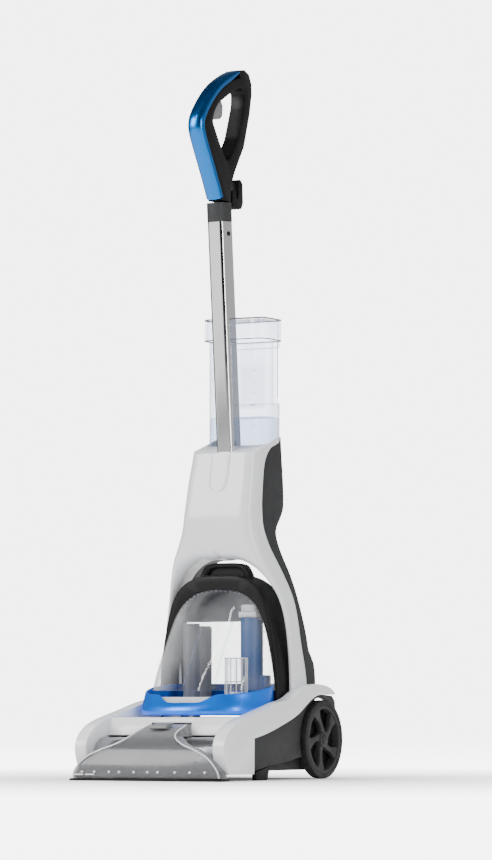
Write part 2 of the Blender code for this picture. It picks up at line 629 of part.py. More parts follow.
def stem_solid(name, mat, half_x, half_y, low, high, corner):
    """A straight bar of rounded rectangular section along the stem's axis."""
    bottom, top = Vector((0, *STEM_LOW)), Vector((0, *STEM_HIGH))
    along = (top - bottom).normalized()
    corners = softened([(half_x, -half_y), (half_x, half_y), (-half_x, half_y), (-half_x, -half_y)], corner * 1.6, 4)
    work = slab(name, mat, "Z", corners, (low, high))
    turn = Vector((0, 0, 1)).rotation_difference(along).to_matrix().to_4x4()
    work.matrix_world = Matrix.Translation(bottom) @ turn
    return work


def stem_length():
    return (Vector(STEM_HIGH) - Vector(STEM_LOW)).length


def make_upper_body(m):
    front = yoke("body_front", m["white"])
    side = BODY_FRONT + [(0.060, 0.512), (0.127, 0.537)] + list(reversed(SPLIT))
    common(front, slab("front_profile", None, "X", side, (-0.2, 0.2)))
    room = [(0.0225, 0.3530), (0.0235, 0.400), (0.0325, 0.450), (0.0415, 0.4870), (0.15, 0.4870), (0.15, 0.3530)]
    cut(front, slab("front_room", None, "X", room, (-0.0590, 0.0590)))
    rear = yoke("body_rear", m["dark"])
    shift = [(y + GAP * 1.6, z - GAP) for y, z in SPLIT]
    back = [(0.1320, 0.5325)] + BODY_BACK + arc(PIVOT_C, 0.0178, -5, -180, 12) + [(0.1002, 0.128), (0.1055, 0.1290)]
    common(rear, slab("rear_profile", None, "X", shift[1:] + back, (-0.2, 0.2)))
    chamber = [(0.04, 0.3530), (0.0945, 0.3530), (0.0940, 0.378), (0.098, 0.392), (0.121, 0.418), (0.1275, 0.433),
               (0.1275, 0.4870), (0.04, 0.4870)]
    cut(rear, slab("rear_room", None, "X", chamber, (-0.0590, 0.0590)))
    pocket = slab("bottle_pocket", None, "Z", rounded_box(BOTTLE_X + 0.0006, (0.0842, 0.1500), 0.010), (0.4905, 0.60))
    socket = stem_solid("stem_socket", None, STEM_X / 2 + 0.0004, STEM_Y / 2 + 0.0004, -0.02, 0.20, 0.008)
    for shell in (front, rear):
        cut(shell, pocket, socket)
    for hand in (1, -1):
        cut(rear, rod("pivot_eye", None, PIVOT_C, 0.0064, across(hand, 0.10, 0.13)))
    cut(rear, rod("button_bore", None, (0.0, 0.4750), 0.0094, (0.12, 0.14), "Y", 28))
    outlet = rod("pocket_outlet", None, (0.0, 0.106), 0.0085, (0.47, 0.50), "Z", 24)
    cut(rear, outlet)


def make_motor(m):
    spot = (0.0, 0.0605)
    housing = rod("motor_housing", m["grey"], spot, 0.0335, (0.3540, 0.3900), "Z", 36)
    cut(housing, rod("housing_room", None, spot, 0.0312, (0.3565, 0.40), "Z", 36))
    cut(housing, rod("housing_inlet", None, spot, 0.0120, (0.34, 0.36), "Z", 24))
    fan = rod("suction_fan", m["steel"], spot, 0.0290, (0.3600, 0.3625), "Z", 32)
    join(fan, rod("fan_hub", None, spot, 0.0080, (0.3605, 0.3720), "Z", 20))
    for index in range(7):
        blade = box("fan_blade_%d" % index, None, (0.0070, 0.0280), (-0.0008, 0.0008), (0.3610, 0.3700))
        blade.matrix_world = Matrix.Translation((*spot, 0)) @ Matrix.Rotation(2 * math.pi * index / 7, 4, "Z")
        join(fan, blade)
    motor = rod("suction_motor", m["motor"], spot, 0.0300, (0.3740, 0.4200), "Z", 36)
    join(motor, rod("motor_top", None, spot, 0.0180, (0.4190, 0.4400), "Z", 28))


def make_stem(m):
    length = stem_length()
    stem = stem_solid("stem_tube", m["chrome"], STEM_X / 2, STEM_Y / 2, 0.0, length, 0.008)
    bore = stem_solid("stem_bore", None, STEM_X / 2 - STEM_WALL, STEM_Y / 2 - STEM_WALL, -0.01, length + 0.01, 0.0065)
    cut(stem, bore)
    hole = rod("button_hole", None, (0.037, 0.854), 0.0042, (0.005, 0.03), "X", 20)
    cut(stem, hole)
    button = rod("stem_button", m["black"], (0.037, 0.854), 0.0037, (0.0085, 0.0165), "X", 20)
    rodline = stem_solid("trigger_rod", m["grey"], 0.003, 0.002, 0.012, length - 0.012, 0.0008)
    collar = stem_solid("neck_collar", m["dark"], STEM_X / 2 + 0.0022, STEM_Y / 2 + 0.0022, length - 0.022,
                        length + 0.008, 0.0095)
    cut(collar, stem_solid("collar_bore", None, STEM_X / 2 + 0.0004, STEM_Y / 2 + 0.0004, length - 0.05,
                           length + 0.0004, 0.008))
    return button, rodline


GRIP_FRONT = [(0.0120, 0.9052), (-0.0160, 0.9520), (-0.0440, 1.0030), (-0.0465, 1.0140), (-0.0450, 1.0270),
              (-0.0385, 1.0400), (-0.0200, 1.0625), (0.0100, 1.0890), (0.0450, 1.1085), (0.0750, 1.1190)]
GRIP_REST = [(0.0920, 1.1220), (0.1060, 1.1170), (0.1140, 1.1030), (0.1150, 1.0850), (0.1080, 1.0520),
             (0.0900, 0.9980), (0.0600, 0.9530), (0.0490, 0.9300), (0.0470, 0.9052)]
GRIP_EYE = [(-0.0090, 1.0260), (-0.0040, 1.0420), (0.0100, 1.0580), (0.0560, 1.0830), (0.0820, 1.0920),
            (0.0930, 1.0850), (0.0920, 1.0640), (0.0720, 1.0100), (0.0500, 0.9790), (0.0370, 0.9680), (0.0240, 0.9790)]
GRIP_HALF = 0.0135
TRIM_T = 0.011


def make_grip(m):
    whole = GRIP_FRONT + GRIP_REST
    grip = slab("handle_grip", m["black"], "X", whole, (-GRIP_HALF, GRIP_HALF), holes=(softened(GRIP_EYE, 0.006),))
    inside = offset_line(GRIP_FRONT, -TRIM_T)
    seat = offset_line(GRIP_FRONT, -TRIM_T - 0.0003)
    beyond = offset_line(GRIP_FRONT, 0.01)
    extra = (0.010, -0.004)
    foot = [(seat[0][0] - extra[0] * 0.5, seat[0][1] - 0.02), (beyond[0][0], beyond[0][1] - 0.02)]
    cut(grip, slab("trim_seat", None, "X", beyond + list(reversed(seat)) + foot, (-0.03, 0.03)))
    slot = [(-0.0200, 1.0400), (0.0000, 1.0680), (0.0300, 1.0820), (0.0400, 1.0600), (0.0, 1.0300), (-0.0120, 1.0280)]
    cut(grip, slab("trigger_slot", None, "X", slot, (-0.0066, 0.0066)))
    trim = slab("handle_trim", m["trim"], "X", GRIP_FRONT + list(reversed(inside)), (-GRIP_HALF, GRIP_HALF))
    lever = [(-0.0130, 1.0450), (-0.0040, 1.0560), (0.0280, 1.0660), (0.0350, 1.0560), (0.0330, 1.0400),
             (0.0260, 1.0345), (0.0020, 1.0330), (-0.0060, 1.0340)]
    trigger = slab("trigger", m["grey"], "X", softened(lever, 0.003), (-0.0060, 0.0060))
    cut(trigger, rod("trigger_bore", None, (-0.0060, 1.0450), 0.0021, (-0.03, 0.03), "X", 16))
    rod("trigger_pin", m["steel"], (-0.0060, 1.0450), 0.0017, (-0.0064, 0.0064), "X", 16)
    return grip, trim


def make_hooks(m):
    upper = [(0.0562, 0.9020), (0.0640, 0.8960), (0.0840, 0.8980), (0.0900, 0.9080), (0.0880, 0.9400),
             (0.0800, 0.9460), (0.0750, 0.9400), (0.0745, 0.9150), (0.0700, 0.9130), (0.0640, 0.9250), (0.0562, 0.9250)]
    slab("cord_hook_upper", m["black"], "X", softened(upper, 0.003), (-0.0115, 0.0115))
    rod("hook_pin", m["steel"], (0.0, 0.9135), 0.0030, (0.0485, 0.0559), "Y", 16)
    lower = [(0.1314, 0.4400), (0.1620, 0.4380), (0.1640, 0.4140), (0.1580, 0.4120), (0.1550, 0.4280), (0.1314, 0.4280)]
    slab("cord_hook_lower", m["dark"], "X", softened(lower, 0.003), (-0.016, 0.016))


def make_controls(m):
    rod("power_button", m["grey"], (0.0, 0.4750), 0.0090, (0.1290, 0.1345), "Y", 28)
    gland = rod("cord_gland", m["seal"], (0.035, 0.4620), 0.0050, (0.1314, 0.1430), "Y", 20)
    cut(gland, rod("gland_bore", None, (0.035, 0.4620), 0.0033, (0.12, 0.16), "Y", 16))


# ---------------------------------------------------------------- clean water tank

def make_bottle(m):
    bottle = slab("clean_tank", m["bottle"], "Z", rounded_box(BOTTLE_X, BOTTLE_Y, 0.012), BOTTLE_Z)
    recess = box("grip_recess", None, (-0.07, 0.07), (0.1250, 0.16), (0.592, 0.680))
    cut(bottle, recess)
    inside = slab("bottle_room", None, "Z", rounded_box(BOTTLE_X - 0.002, (0.0868, 0.1230), 0.009), (0.4940, 0.72))
    lower = slab("bottle_lower_room", None, "Z", rounded_box(BOTTLE_X - 0.0022, (0.0870, 0.1410), 0.009), (0.4942, 0.590))
    cut(bottle, inside, lower)
    cut(bottle, rod("bottle_mouth", None, (0.0, 0.106), 0.0080, (0.48, 0.50), "Z", 24))
    lid = slab("clean_tank_lid", m["bottle"], "Z", rounded_box(0.0570, (0.0740, 0.1440), 0.012), LID_Z)
    cut(lid, slab("lid_room", None, "Z", rounded_box(0.0540, (0.0770, 0.1410), 0.010), (0.680, 0.7215)))
    valve = rod("tank_valve", m["grey"], (0.0, 0.106), 0.0072, (0.4910, 0.5000), "Z", 24)
    return lid, valve


def main():
    fresh_scene()
    m = make_materials()
    make_chassis(m)
    make_base_shell(m)
    both_sides(lambda name, side: make_side_cover(m, name, side))
    both_sides(lambda name, side: make_skid(m, name, side))
    make_brush_housing(m)
    make_brush(m)
    make_drive(m)
    make_nozzle(m)
    make_wet_works(m)
    both_sides(lambda name, side: make_wheel(m, name, side))
    make_rear(m)
    make_recovery_tank(m)
    make_upper_body(m)
    make_motor(m)
    make_stem(m)
    make_grip(m)
    make_hooks(m)
    make_controls(m)
    make_bottle(m)


main()
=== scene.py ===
"""Looks of an upright carpet washer: shells, clear tanks, chromed stem and studio, round the CAD frame."""

import json
import math

import bmesh
import bpy
from bpy.props import FloatProperty, FloatVectorProperty, PointerProperty
from mathutils import Matrix, Vector


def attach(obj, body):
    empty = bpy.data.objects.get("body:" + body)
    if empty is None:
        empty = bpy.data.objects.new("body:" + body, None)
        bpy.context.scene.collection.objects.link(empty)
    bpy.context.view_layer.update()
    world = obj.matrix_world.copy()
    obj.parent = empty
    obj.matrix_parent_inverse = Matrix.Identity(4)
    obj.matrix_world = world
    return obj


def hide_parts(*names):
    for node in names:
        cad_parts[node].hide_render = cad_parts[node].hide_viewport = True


bl_info = {
    "name": "Carpet Washer",
    "version": (1, 0, 0),
    "blender": (4, 5, 0),
    "location": "View3D > Sidebar > Washer",
    "description": "Builds the visible pieces of an upright carpet washer round its CAD frame",
    "category": "Object",
}

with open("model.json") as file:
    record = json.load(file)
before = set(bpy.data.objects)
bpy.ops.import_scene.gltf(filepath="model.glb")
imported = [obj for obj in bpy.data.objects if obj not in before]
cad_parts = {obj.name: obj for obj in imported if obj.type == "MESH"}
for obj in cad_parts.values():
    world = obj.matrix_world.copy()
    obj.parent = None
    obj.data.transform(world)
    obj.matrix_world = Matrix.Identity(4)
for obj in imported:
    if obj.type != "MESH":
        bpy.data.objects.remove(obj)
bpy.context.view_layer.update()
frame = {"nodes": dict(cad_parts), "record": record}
BODY_OF = {node: body for body, nodes in frame["record"]["behaviour"]["bodies"].items() for node in nodes}
SLOT_OF = {entry["node"]: entry["material_slot"] for entry in frame["record"]["subparts"]}


# ---------------------------------------------------------------- properties

class WasherSizes(bpy.types.PropertyGroup):
    """Sizes that shape the visible pieces."""
    dome_wall: FloatProperty(name="Dome wall", description="Wall of the clear recovery dome", default=0.0022,
                             unit="LENGTH", subtype="DISTANCE")
    water_level: FloatProperty(name="Water level", description="Height of the water above the bottle's floor",
                               default=0.075, unit="LENGTH", subtype="DISTANCE")


def colour_prop(label, text, value):
    return FloatVectorProperty(name=label, description=text, default=value, size=3, min=0.0, max=1.0,
                               subtype="COLOR")


class WasherColours(bpy.types.PropertyGroup):
    """Base colours of the finishes."""
    white: colour_prop("White", "Gloss white mouldings", (0.84, 0.85, 0.87))
    dark: colour_prop("Dark grey", "Textured dark mouldings", (0.030, 0.0305, 0.032))
    black: colour_prop("Black", "Satin black mouldings", (0.0030, 0.0030, 0.0033))
    grey: colour_prop("Mid grey", "Small grey mouldings", (0.19, 0.19, 0.20))
    blue: colour_prop("Blue", "Recovery tank base", (0.001, 0.18, 0.90))
    trim: colour_prop("Trim blue", "Lacquered handle trim", (0.003, 0.18, 0.58))
    smoke: colour_prop("Smoke", "Tint of the clear recovery parts", (0.95, 0.955, 0.96))
    bottle: colour_prop("Bottle", "Tint of the clean water bottle", (0.95, 0.965, 1.0))
    water: colour_prop("Water", "Tint of the clean water", (0.84, 0.90, 0.99))
    floor: colour_prop("Floor", "Studio floor", (0.93, 0.93, 0.93))


# ---------------------------------------------------------------- selection and modelling helpers

def deselect():
    if bpy.context.object and bpy.context.object.mode != "OBJECT":
        bpy.ops.object.mode_set(mode="OBJECT")
    bpy.ops.object.select_all(action="DESELECT")


def focus(obj):
    deselect()
    obj.select_set(True)
    bpy.context.view_layer.objects.active = obj


def pick_edges(obj, test):
    """Selects, in edit mode, the edges whose two ends pass the test."""
    bm = bmesh.from_edit_mesh(obj.data)
    for face in bm.faces:
        face.select_set(False)
    for edge in bm.edges:
        edge.select_set(test(edge))
    bmesh.update_edit_mesh(obj.data)


def apply_all(obj):
    focus(obj)
    for mod in list(obj.modifiers):
        bpy.ops.object.modifier_apply(modifier=mod.name)


def bevel(obj, width, segments=3, angle=32.0):
    mod = obj.modifiers.new("rounded edges", "BEVEL")
    mod.width = width
    mod.segments = segments
    mod.limit_method = "ANGLE"
    mod.angle_limit = math.radians(angle)
    mod.harden_normals = False
    mod.use_clamp_overlap = True
    apply_all(obj)


def shell(obj, wall):
    """Gives a skin a wall that grows inwards."""
    mod = obj.modifiers.new("wall", "SOLIDIFY")
    mod.thickness = wall
    mod.offset = -1.0
    mod.use_even_offset = True
    apply_all(obj)


def smooth(obj, angle=32.0):
    focus(obj)
    bpy.ops.object.shade_smooth_by_angle(angle=math.radians(angle))


def cut(obj, tool):
    """Takes the tool's solid away from a piece."""
    mod = obj.modifiers.new("cut", "BOOLEAN")
    mod.operation = "DIFFERENCE"
    mod.solver = "EXACT"
    mod.object = tool
    apply_all(obj)
    bpy.data.objects.remove(tool, do_unlink=True)


def settle(obj):
    focus(obj)
    bpy.ops.object.transform_apply(location=True, rotation=True, scale=True)
    return obj


def recalc(obj):
    focus(obj)
    bpy.ops.object.mode_set(mode="EDIT")
    bpy.ops.mesh.select_all(action="SELECT")
    bpy.ops.mesh.normals_make_consistent(inside=False)
    bpy.ops.object.mode_set(mode="OBJECT")


def named(name):
    obj = bpy.context.object
    obj.name = name
    obj.data.name = name
    return obj


def finish_piece(obj, finish, body, *nodes, slot, angle=32.0):
    """Shades, paints and mounts a finished piece, and lets it stand for its CAD nodes."""
    obj.data.materials.clear()
    obj.data.materials.append(FINISH[finish])
    smooth(obj, angle)
    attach(obj, body)
    if nodes:
        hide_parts(*nodes)


def set_ring(obj, points):
    """Puts the selected ring of vertices, in their own order, on the given points."""
    bm = bmesh.from_edit_mesh(obj.data)
    ring = [vert for vert in bm.verts if vert.select]
    for vert, point in zip(sorted(ring, key=lambda v: v.index), points):
        vert.co = point
    bmesh.update_edit_mesh(obj.data)


def loft(name, rings, closed=False, caps=(True, True)):
    """A circle extruded ring by ring; closed joins the last ring to the first."""
    deselect()
    count = len(rings[0])
    bpy.ops.mesh.primitive_circle_add(vertices=count, radius=0.01, fill_type="NOTHING")
    obj = named(name)
    bpy.ops.object.mode_set(mode="EDIT")
    bpy.ops.mesh.select_all(action="SELECT")
    set_ring(obj, rings[0])
    for ring in rings[1:]:
        bpy.ops.mesh.extrude_edges_move()
        set_ring(obj, ring)
    bpy.ops.mesh.select_all(action="DESELECT")
    total = len(rings)
    bm = bmesh.from_edit_mesh(obj.data)
    bm.verts.ensure_lookup_table()
    if closed:
        first, last = set(range(count)), set(range(count * (total - 1), count * total))
        for edge in bm.edges:
            ends = {edge.verts[0].index, edge.verts[1].index}
            edge.select_set(ends <= first or ends <= last)
        bmesh.update_edit_mesh(obj.data)
        bpy.ops.mesh.bridge_edge_loops()
    else:
        for want, start in zip(caps, (0, count * (total - 1))):
            if not want:
                continue
            for vert in bm.verts:
                vert.select_set(start <= vert.index < start + count)
            bm.select_flush(True)
            bmesh.update_edit_mesh(obj.data)
            bpy.ops.mesh.edge_face_add()
            bpy.ops.mesh.select_all(action="DESELECT")
            bm = bmesh.from_edit_mesh(obj.data)
    bpy.ops.mesh.select_all(action="SELECT")
    bpy.ops.mesh.normals_make_consistent(inside=False)
    bpy.ops.object.mode_set(mode="OBJECT")
    return obj


def placed(outline, axis, w):
    """A flat outline, in (y, z), (x, z) or (x, y), set at a distance along the axis it faces."""
    return [{"X": (w, u, v), "Y": (u, w, v), "Z": (u, v, w)}[axis] for u, v in outline]


def slab(name, outline, axis, span):
    """A flat outline extruded along an axis."""
    return loft(name, [placed(outline, axis, w) for w in span])


def ring_slab(name, outer, inner, axis, span):
    """A flat frame between two outlines of equal counts, extruded along an axis."""
    a, b = span
    rings = [placed(outer, axis, a), placed(outer, axis, b), placed(inner, axis, b), placed(inner, axis, a)]
    return loft(name, rings, closed=True)


def cube(name, x, y, z):
    deselect()
    centre = ((x[0] + x[1]) / 2, (y[0] + y[1]) / 2, (z[0] + z[1]) / 2)
    bpy.ops.mesh.primitive_cube_add(size=1.0, location=centre, scale=(x[1] - x[0], y[1] - y[0], z[1] - z[0]))
    return settle(named(name))


def drum(name, centre, radius, span, axis="X", sides=48):
    """A round bar along an axis; centre is the other two coordinates in order."""
    deselect()
    middle = (span[0] + span[1]) / 2
    where = {"X": (middle, *centre), "Y": (centre[0], middle, centre[1]), "Z": (*centre, middle)}[axis]
    turn = {"X": (0, math.pi / 2, 0), "Y": (math.pi / 2, 0, 0), "Z": (0, 0, 0)}[axis]
    bpy.ops.mesh.primitive_cylinder_add(vertices=sides, radius=radius, depth=span[1] - span[0],
                                        location=where, rotation=turn)
    return settle(named(name))


def joined(name, parts):
    """Parts of one moulding made into one object."""
    deselect()
    for part in parts:
        part.select_set(True)
    bpy.context.view_layer.objects.active = parts[0]
    bpy.ops.object.join()
    return named(name)


def turned(obj, y, z, degrees):
    """Turns a part about a line that runs across the machine."""
    obj.matrix_world = (Matrix.Translation((0, y, z)) @ Matrix.Rotation(math.radians(degrees), 4, "X")
                        @ Matrix.Translation((0, -y, -z)) @ obj.matrix_world)
    return settle(obj)


# ---------------------------------------------------------------- curves worked out by formula

def hermite(table, x):
    """Smooth value of a table [(x, a, b, ...)] at x, as a tuple of its columns."""
    if x <= table[0][0]:
        return table[0][1:]
    if x >= table[-1][0]:
        return table[-1][1:]
    i = max(k for k in range(len(table) - 1) if table[k][0] <= x)
    x0, x1 = table[i][0], table[i + 1][0]
    t = (x - x0) / (x1 - x0)
    out = []
    for col in range(1, len(table[0])):
        y0, y1 = table[i][col], table[i + 1][col]
        here = (y1 - y0) / (x1 - x0)
        before = here if i == 0 else (y0 - table[i - 1][col]) / (x0 - table[i - 1][0])
        after = here if i + 2 >= len(table) else (table[i + 2][col] - y1) / (table[i + 2][0] - x1)
        m0 = (before + here) / 2 if before * here > 0 else 0.0
        m1 = (here + after) / 2 if here * after > 0 else 0.0
        m0 = math.copysign(min(abs(m0), 2.5 * abs(here)), m0) if here else 0.0
        m1 = math.copysign(min(abs(m1), 2.5 * abs(here)), m1) if here else 0.0
        h = x1 - x0
        out.append((2 * t ** 3 - 3 * t ** 2 + 1) * y0 + (t ** 3 - 2 * t ** 2 + t) * h * m0
                   + (-2 * t ** 3 + 3 * t ** 2) * y1 + (t ** 3 - t ** 2) * h * m1)
    return tuple(out)


def catmull(points, per=6):
    """A smooth open line through points."""
    pts = [Vector(p) for p in points]
    out = []
    for i in range(len(pts) - 1):
        p1, p2 = pts[i], pts[i + 1]
        p0 = pts[i - 1] if i else p1 * 2 - p2
        p3 = pts[i + 2] if i + 2 < len(pts) else p2 * 2 - p1
        t01 = max((p1 - p0).length, 1e-9) ** 0.5
        t12 = max((p2 - p1).length, 1e-9) ** 0.5
        t23 = max((p3 - p2).length, 1e-9) ** 0.5
        m1 = (p2 - p1) + t12 * ((p1 - p0) / t01 - (p2 - p0) / (t01 + t12))
        m2 = (p2 - p1) + t12 * ((p3 - p2) / t23 - (p3 - p1) / (t12 + t23))
        for k in range(per):
            t = k / per
            out.append(tuple((2 * t ** 3 - 3 * t ** 2 + 1) * p1 + (t ** 3 - 2 * t ** 2 + t) * m1
                             + (-2 * t ** 3 + 3 * t ** 2) * p2 + (t ** 3 - t ** 2) * m2))
    return out + [tuple(pts[-1])]


def arc(centre, radius, start, end, steps):
    angles = [math.radians(start + (end - start) * i / steps) for i in range(steps + 1)]
    return [(centre[0] + radius * math.cos(a), centre[1] + radius * math.sin(a)) for a in angles]


def softened(points, radius, steps=4):
    """A closed outline with its corners swapped for curves."""
    result = []
    for i, corner in enumerate(points):
        here = Vector(corner)
        before = Vector(points[i - 1]) - here
        after = Vector(points[(i + 1) % len(points)]) - here
        reach = min(radius, before.length * 0.48, after.length * 0.48)
        a = here + before.normalized() * reach
        b = here + after.normalized() * reach
        for step in range(steps + 1):
            t = step / steps
            spot = a * (1 - t) ** 2 + here * 2 * t * (1 - t) + b * t ** 2
            result.append((spot.x, spot.y))
    return result


def rounded_box(half_x, y, radius, steps=6):
    return softened([(half_x, y[0]), (half_x, y[1]), (-half_x, y[1]), (-half_x, y[0])], radius * 1.4, steps)


PLAN_POINTS = 96


def superellipse(half, front, middle, rear, power_front, power_rear, z):
    """A plan ring: a bowed front half and a rear half of its own squareness."""
    ring = []
    for i in range(PLAN_POINTS):
        turn = 2 * math.pi * i / PLAN_POINTS
        c, s = math.cos(turn), math.sin(turn)
        power = power_rear if s > 0 else power_front
        depth = (rear - middle) if s > 0 else (middle - front)
        x = half * math.copysign(abs(c) ** (2 / power), c)
        y = middle + math.copysign(abs(s) ** (2 / power), s) * depth
        ring.append((x, y, z))
    return ring


# ---------------------------------------------------------------- node materials

def wire(tree, node, inputs):
    """Links each named input of a node to a socket, or gives it a value."""
    for name, value in inputs.items():
        if isinstance(value, bpy.types.NodeSocket):
            tree.links.new(value, node.inputs[name])
        else:
            node.inputs[name].default_value = value


def add(tree, kind, inputs, **settings):
    """A new shader node with its settings and inputs."""
    node = tree.nodes.new("ShaderNode" + kind)
    for name, value in settings.items():
        setattr(node, name, value)
    wire(tree, node, inputs)
    return node


def nodes_of(name):
    mat = bpy.data.materials.new(name)
    mat.use_nodes = True
    tree = mat.node_tree
    return mat, tree, tree.nodes["Principled BSDF"], add(tree, "TexCoord", {}).outputs["Object"]


def noise(tree, coords, scale, detail, roughness=0.55):
    return add(tree, "TexNoise", {"Scale": scale, "Detail": detail, "Roughness": roughness,
                                  "Vector": coords}).outputs["Fac"]


def ramp(tree, source, low, high, low_at=0.35, high_at=0.65):
    return add(tree, "MapRange", {"From Min": low_at, "From Max": high_at, "To Min": low, "To Max": high,
                                  "Value": source}).outputs["Result"]


def maths(tree, operation, first, second):
    return add(tree, "Math", {0: first, 1: second}, operation=operation).outputs["Value"]


def blend(tree, share, first, second):
    return add(tree, "MixShader", {"Fac": share, 1: first, 2: second}).outputs["Shader"]


def mix_colour(tree, factor, a, b):
    """A colour, or a colour socket, mixed with another colour."""
    first = a if isinstance(a, bpy.types.NodeSocket) else (*a, 1.0)
    node = add(tree, "Mix", {"Factor": factor, "A": first, "B": (*b, 1.0)}, data_type="RGBA")
    return node.outputs["Result"]


def bump(tree, height, strength, distance):
    return add(tree, "Bump", {"Strength": strength, "Distance": distance, "Height": height}).outputs["Normal"]


def shade_of(colour, factor):
    return tuple(min(1.0, c * factor) for c in colour)


def moulded(name, colour, roughness, grain=900.0, depth=0.00008, strength=0.25, coat=0.0, variation=0.06,
            metallic=0.0, specular=0.5):
    """Moulded plastic: fine grain, cloudy handling marks in its gloss, and paler rubbed edges."""
    mat, tree, shader, coords = nodes_of(name)
    cloud = noise(tree, coords, 22.0, 3.0)
    grit = noise(tree, coords, grain, 2.0)
    worn = ramp(tree, add(tree, "NewGeometry", {}).outputs["Pointiness"], 0.0, 1.0, 0.52, 0.60)
    base = mix_colour(tree, cloud, shade_of(colour, 1 - variation), shade_of(colour, 1 + variation))
    rubbed = mix_colour(tree, worn, base, shade_of(tuple(c + 0.012 for c in colour), 1.15))
    wire(tree, shader, {"Base Color": rubbed,
                        "Roughness": ramp(tree, cloud, roughness * 0.85, roughness * 1.2),
                        "Normal": bump(tree, grit, strength, depth), "Metallic": metallic,
                        "Specular IOR Level": specular, "Coat Weight": coat, "Coat Roughness": 0.04})
    return mat


def lacquer(name, colour):
    """Metallic lacquer: fine flake under a clear gloss coat."""
    mat, tree, shader, coords = nodes_of(name)
    flake = noise(tree, coords, 2600.0, 2.0, 0.7)
    cloud = noise(tree, coords, 14.0, 3.0)
    wire(tree, shader, {"Base Color": mix_colour(tree, flake, shade_of(colour, 0.82), shade_of(colour, 1.25)),
                        "Roughness": ramp(tree, cloud, 0.24, 0.32),
                        "Normal": bump(tree, flake, 0.06, 0.00003),
                        "Metallic": 0.95, "Coat Weight": 0.4, "Coat Roughness": 0.03})
    return mat


def clear(name, tint, body, roughness=0.05, streaks=0.03, gloss=0.55):
    """Clear plastic seen as a thin wall: it passes tinted light, and mirrors more at grazing angles."""
    mat, tree, shader, coords = nodes_of(name)
    flow = noise(tree, coords, 9.0, 3.0)
    wire(tree, shader, {"Base Color": (*tint, 1.0), "Specular IOR Level": 0.8,
                        "Roughness": ramp(tree, flow, roughness * 0.7, roughness * 1.5),
                        "Normal": bump(tree, flow, 0.15, 0.0006)})
    through = add(tree, "BsdfTransparent", {"Color": (*tint, 1.0)})
    facing = add(tree, "LayerWeight", {"Blend": 0.35}).outputs["Facing"]
    amount = ramp(tree, facing, body, min(1.0, body + 0.55), 0.25, 1.0)
    mist = maths(tree, "ADD", amount, ramp(tree, flow, -streaks, streaks))
    wall = blend(tree, mist, through.outputs["BSDF"], shader.outputs["BSDF"])
    glint = add(tree, "BsdfGlossy", {"Roughness": roughness})
    grazing = ramp(tree, maths(tree, "POWER", facing, 3.5), 0.035, gloss, 0.0, 1.0)
    skin = blend(tree, grazing, wall, glint.outputs["BSDF"])
    tree.links.new(skin, tree.nodes["Material Output"].inputs["Surface"])
    return mat


def polished(name, colour, roughness, brushed=0.0):
    """Bright metal, with faint lengthwise drawing marks where it is brushed."""
    mat, tree, shader, coords = nodes_of(name)
    stretch = add(tree, "Mapping", {"Scale": (900.0, 900.0, 6.0), "Vector": coords})
    lines = add(tree, "TexNoise", {"Scale": 1.0, "Detail": 3.0, "Vector": stretch.outputs["Vector"]})
    smear = noise(tree, coords, 30.0, 3.0)
    wire(tree, shader, {"Base Color": (*colour, 1.0), "Metallic": 1.0,
                        "Roughness": ramp(tree, smear, roughness * 0.8, roughness * 1.4),
                        "Normal": bump(tree, lines.outputs["Fac"], 0.03 + brushed, 0.00004)})
    return mat


def rubber(name, colour):
    """Dull rubber with dust in its grain."""
    mat, tree, shader, coords = nodes_of(name)
    dust = noise(tree, coords, 60.0, 5.0)
    grit = noise(tree, coords, 1500.0, 2.0)
    wire(tree, shader, {"Base Color": mix_colour(tree, dust, shade_of(colour, 0.75), shade_of(colour, 1.6)),
                        "Roughness": ramp(tree, dust, 0.5, 0.75), "Normal": bump(tree, grit, 0.35, 0.0001)})
    return mat


FLOOR_GLOW = 5.0


def studio_white(tint):
    """A seamless pale floor that glows for the camera; the glow is painted down round the machine, a painted
    shade there, so that its contact shadows show.
    """
    mat, tree, shader, coords = nodes_of("studio_floor")
    cloud = noise(tree, coords, 0.8, 2.0)
    reach = add(tree, "VectorMath", {0: coords}, operation="LENGTH").outputs["Value"]
    # Glow falls towards 0.10 close to the machine: painted shade round its foot.
    glow_with_painted_shade = ramp(tree, reach, 0.10, FLOOR_GLOW, 0.20, 1.30)
    seen = add(tree, "LightPath", {}).outputs["Is Camera Ray"]
    wire(tree, shader, {"Base Color": mix_colour(tree, cloud, shade_of(tint, 0.99), tint), "Roughness": 0.6,
                        "Specular IOR Level": 0.0, "Emission Color": (1.0, 1.0, 1.0, 1.0),
                        "Emission Strength": maths(tree, "MULTIPLY", glow_with_painted_shade, seen)})
    return mat


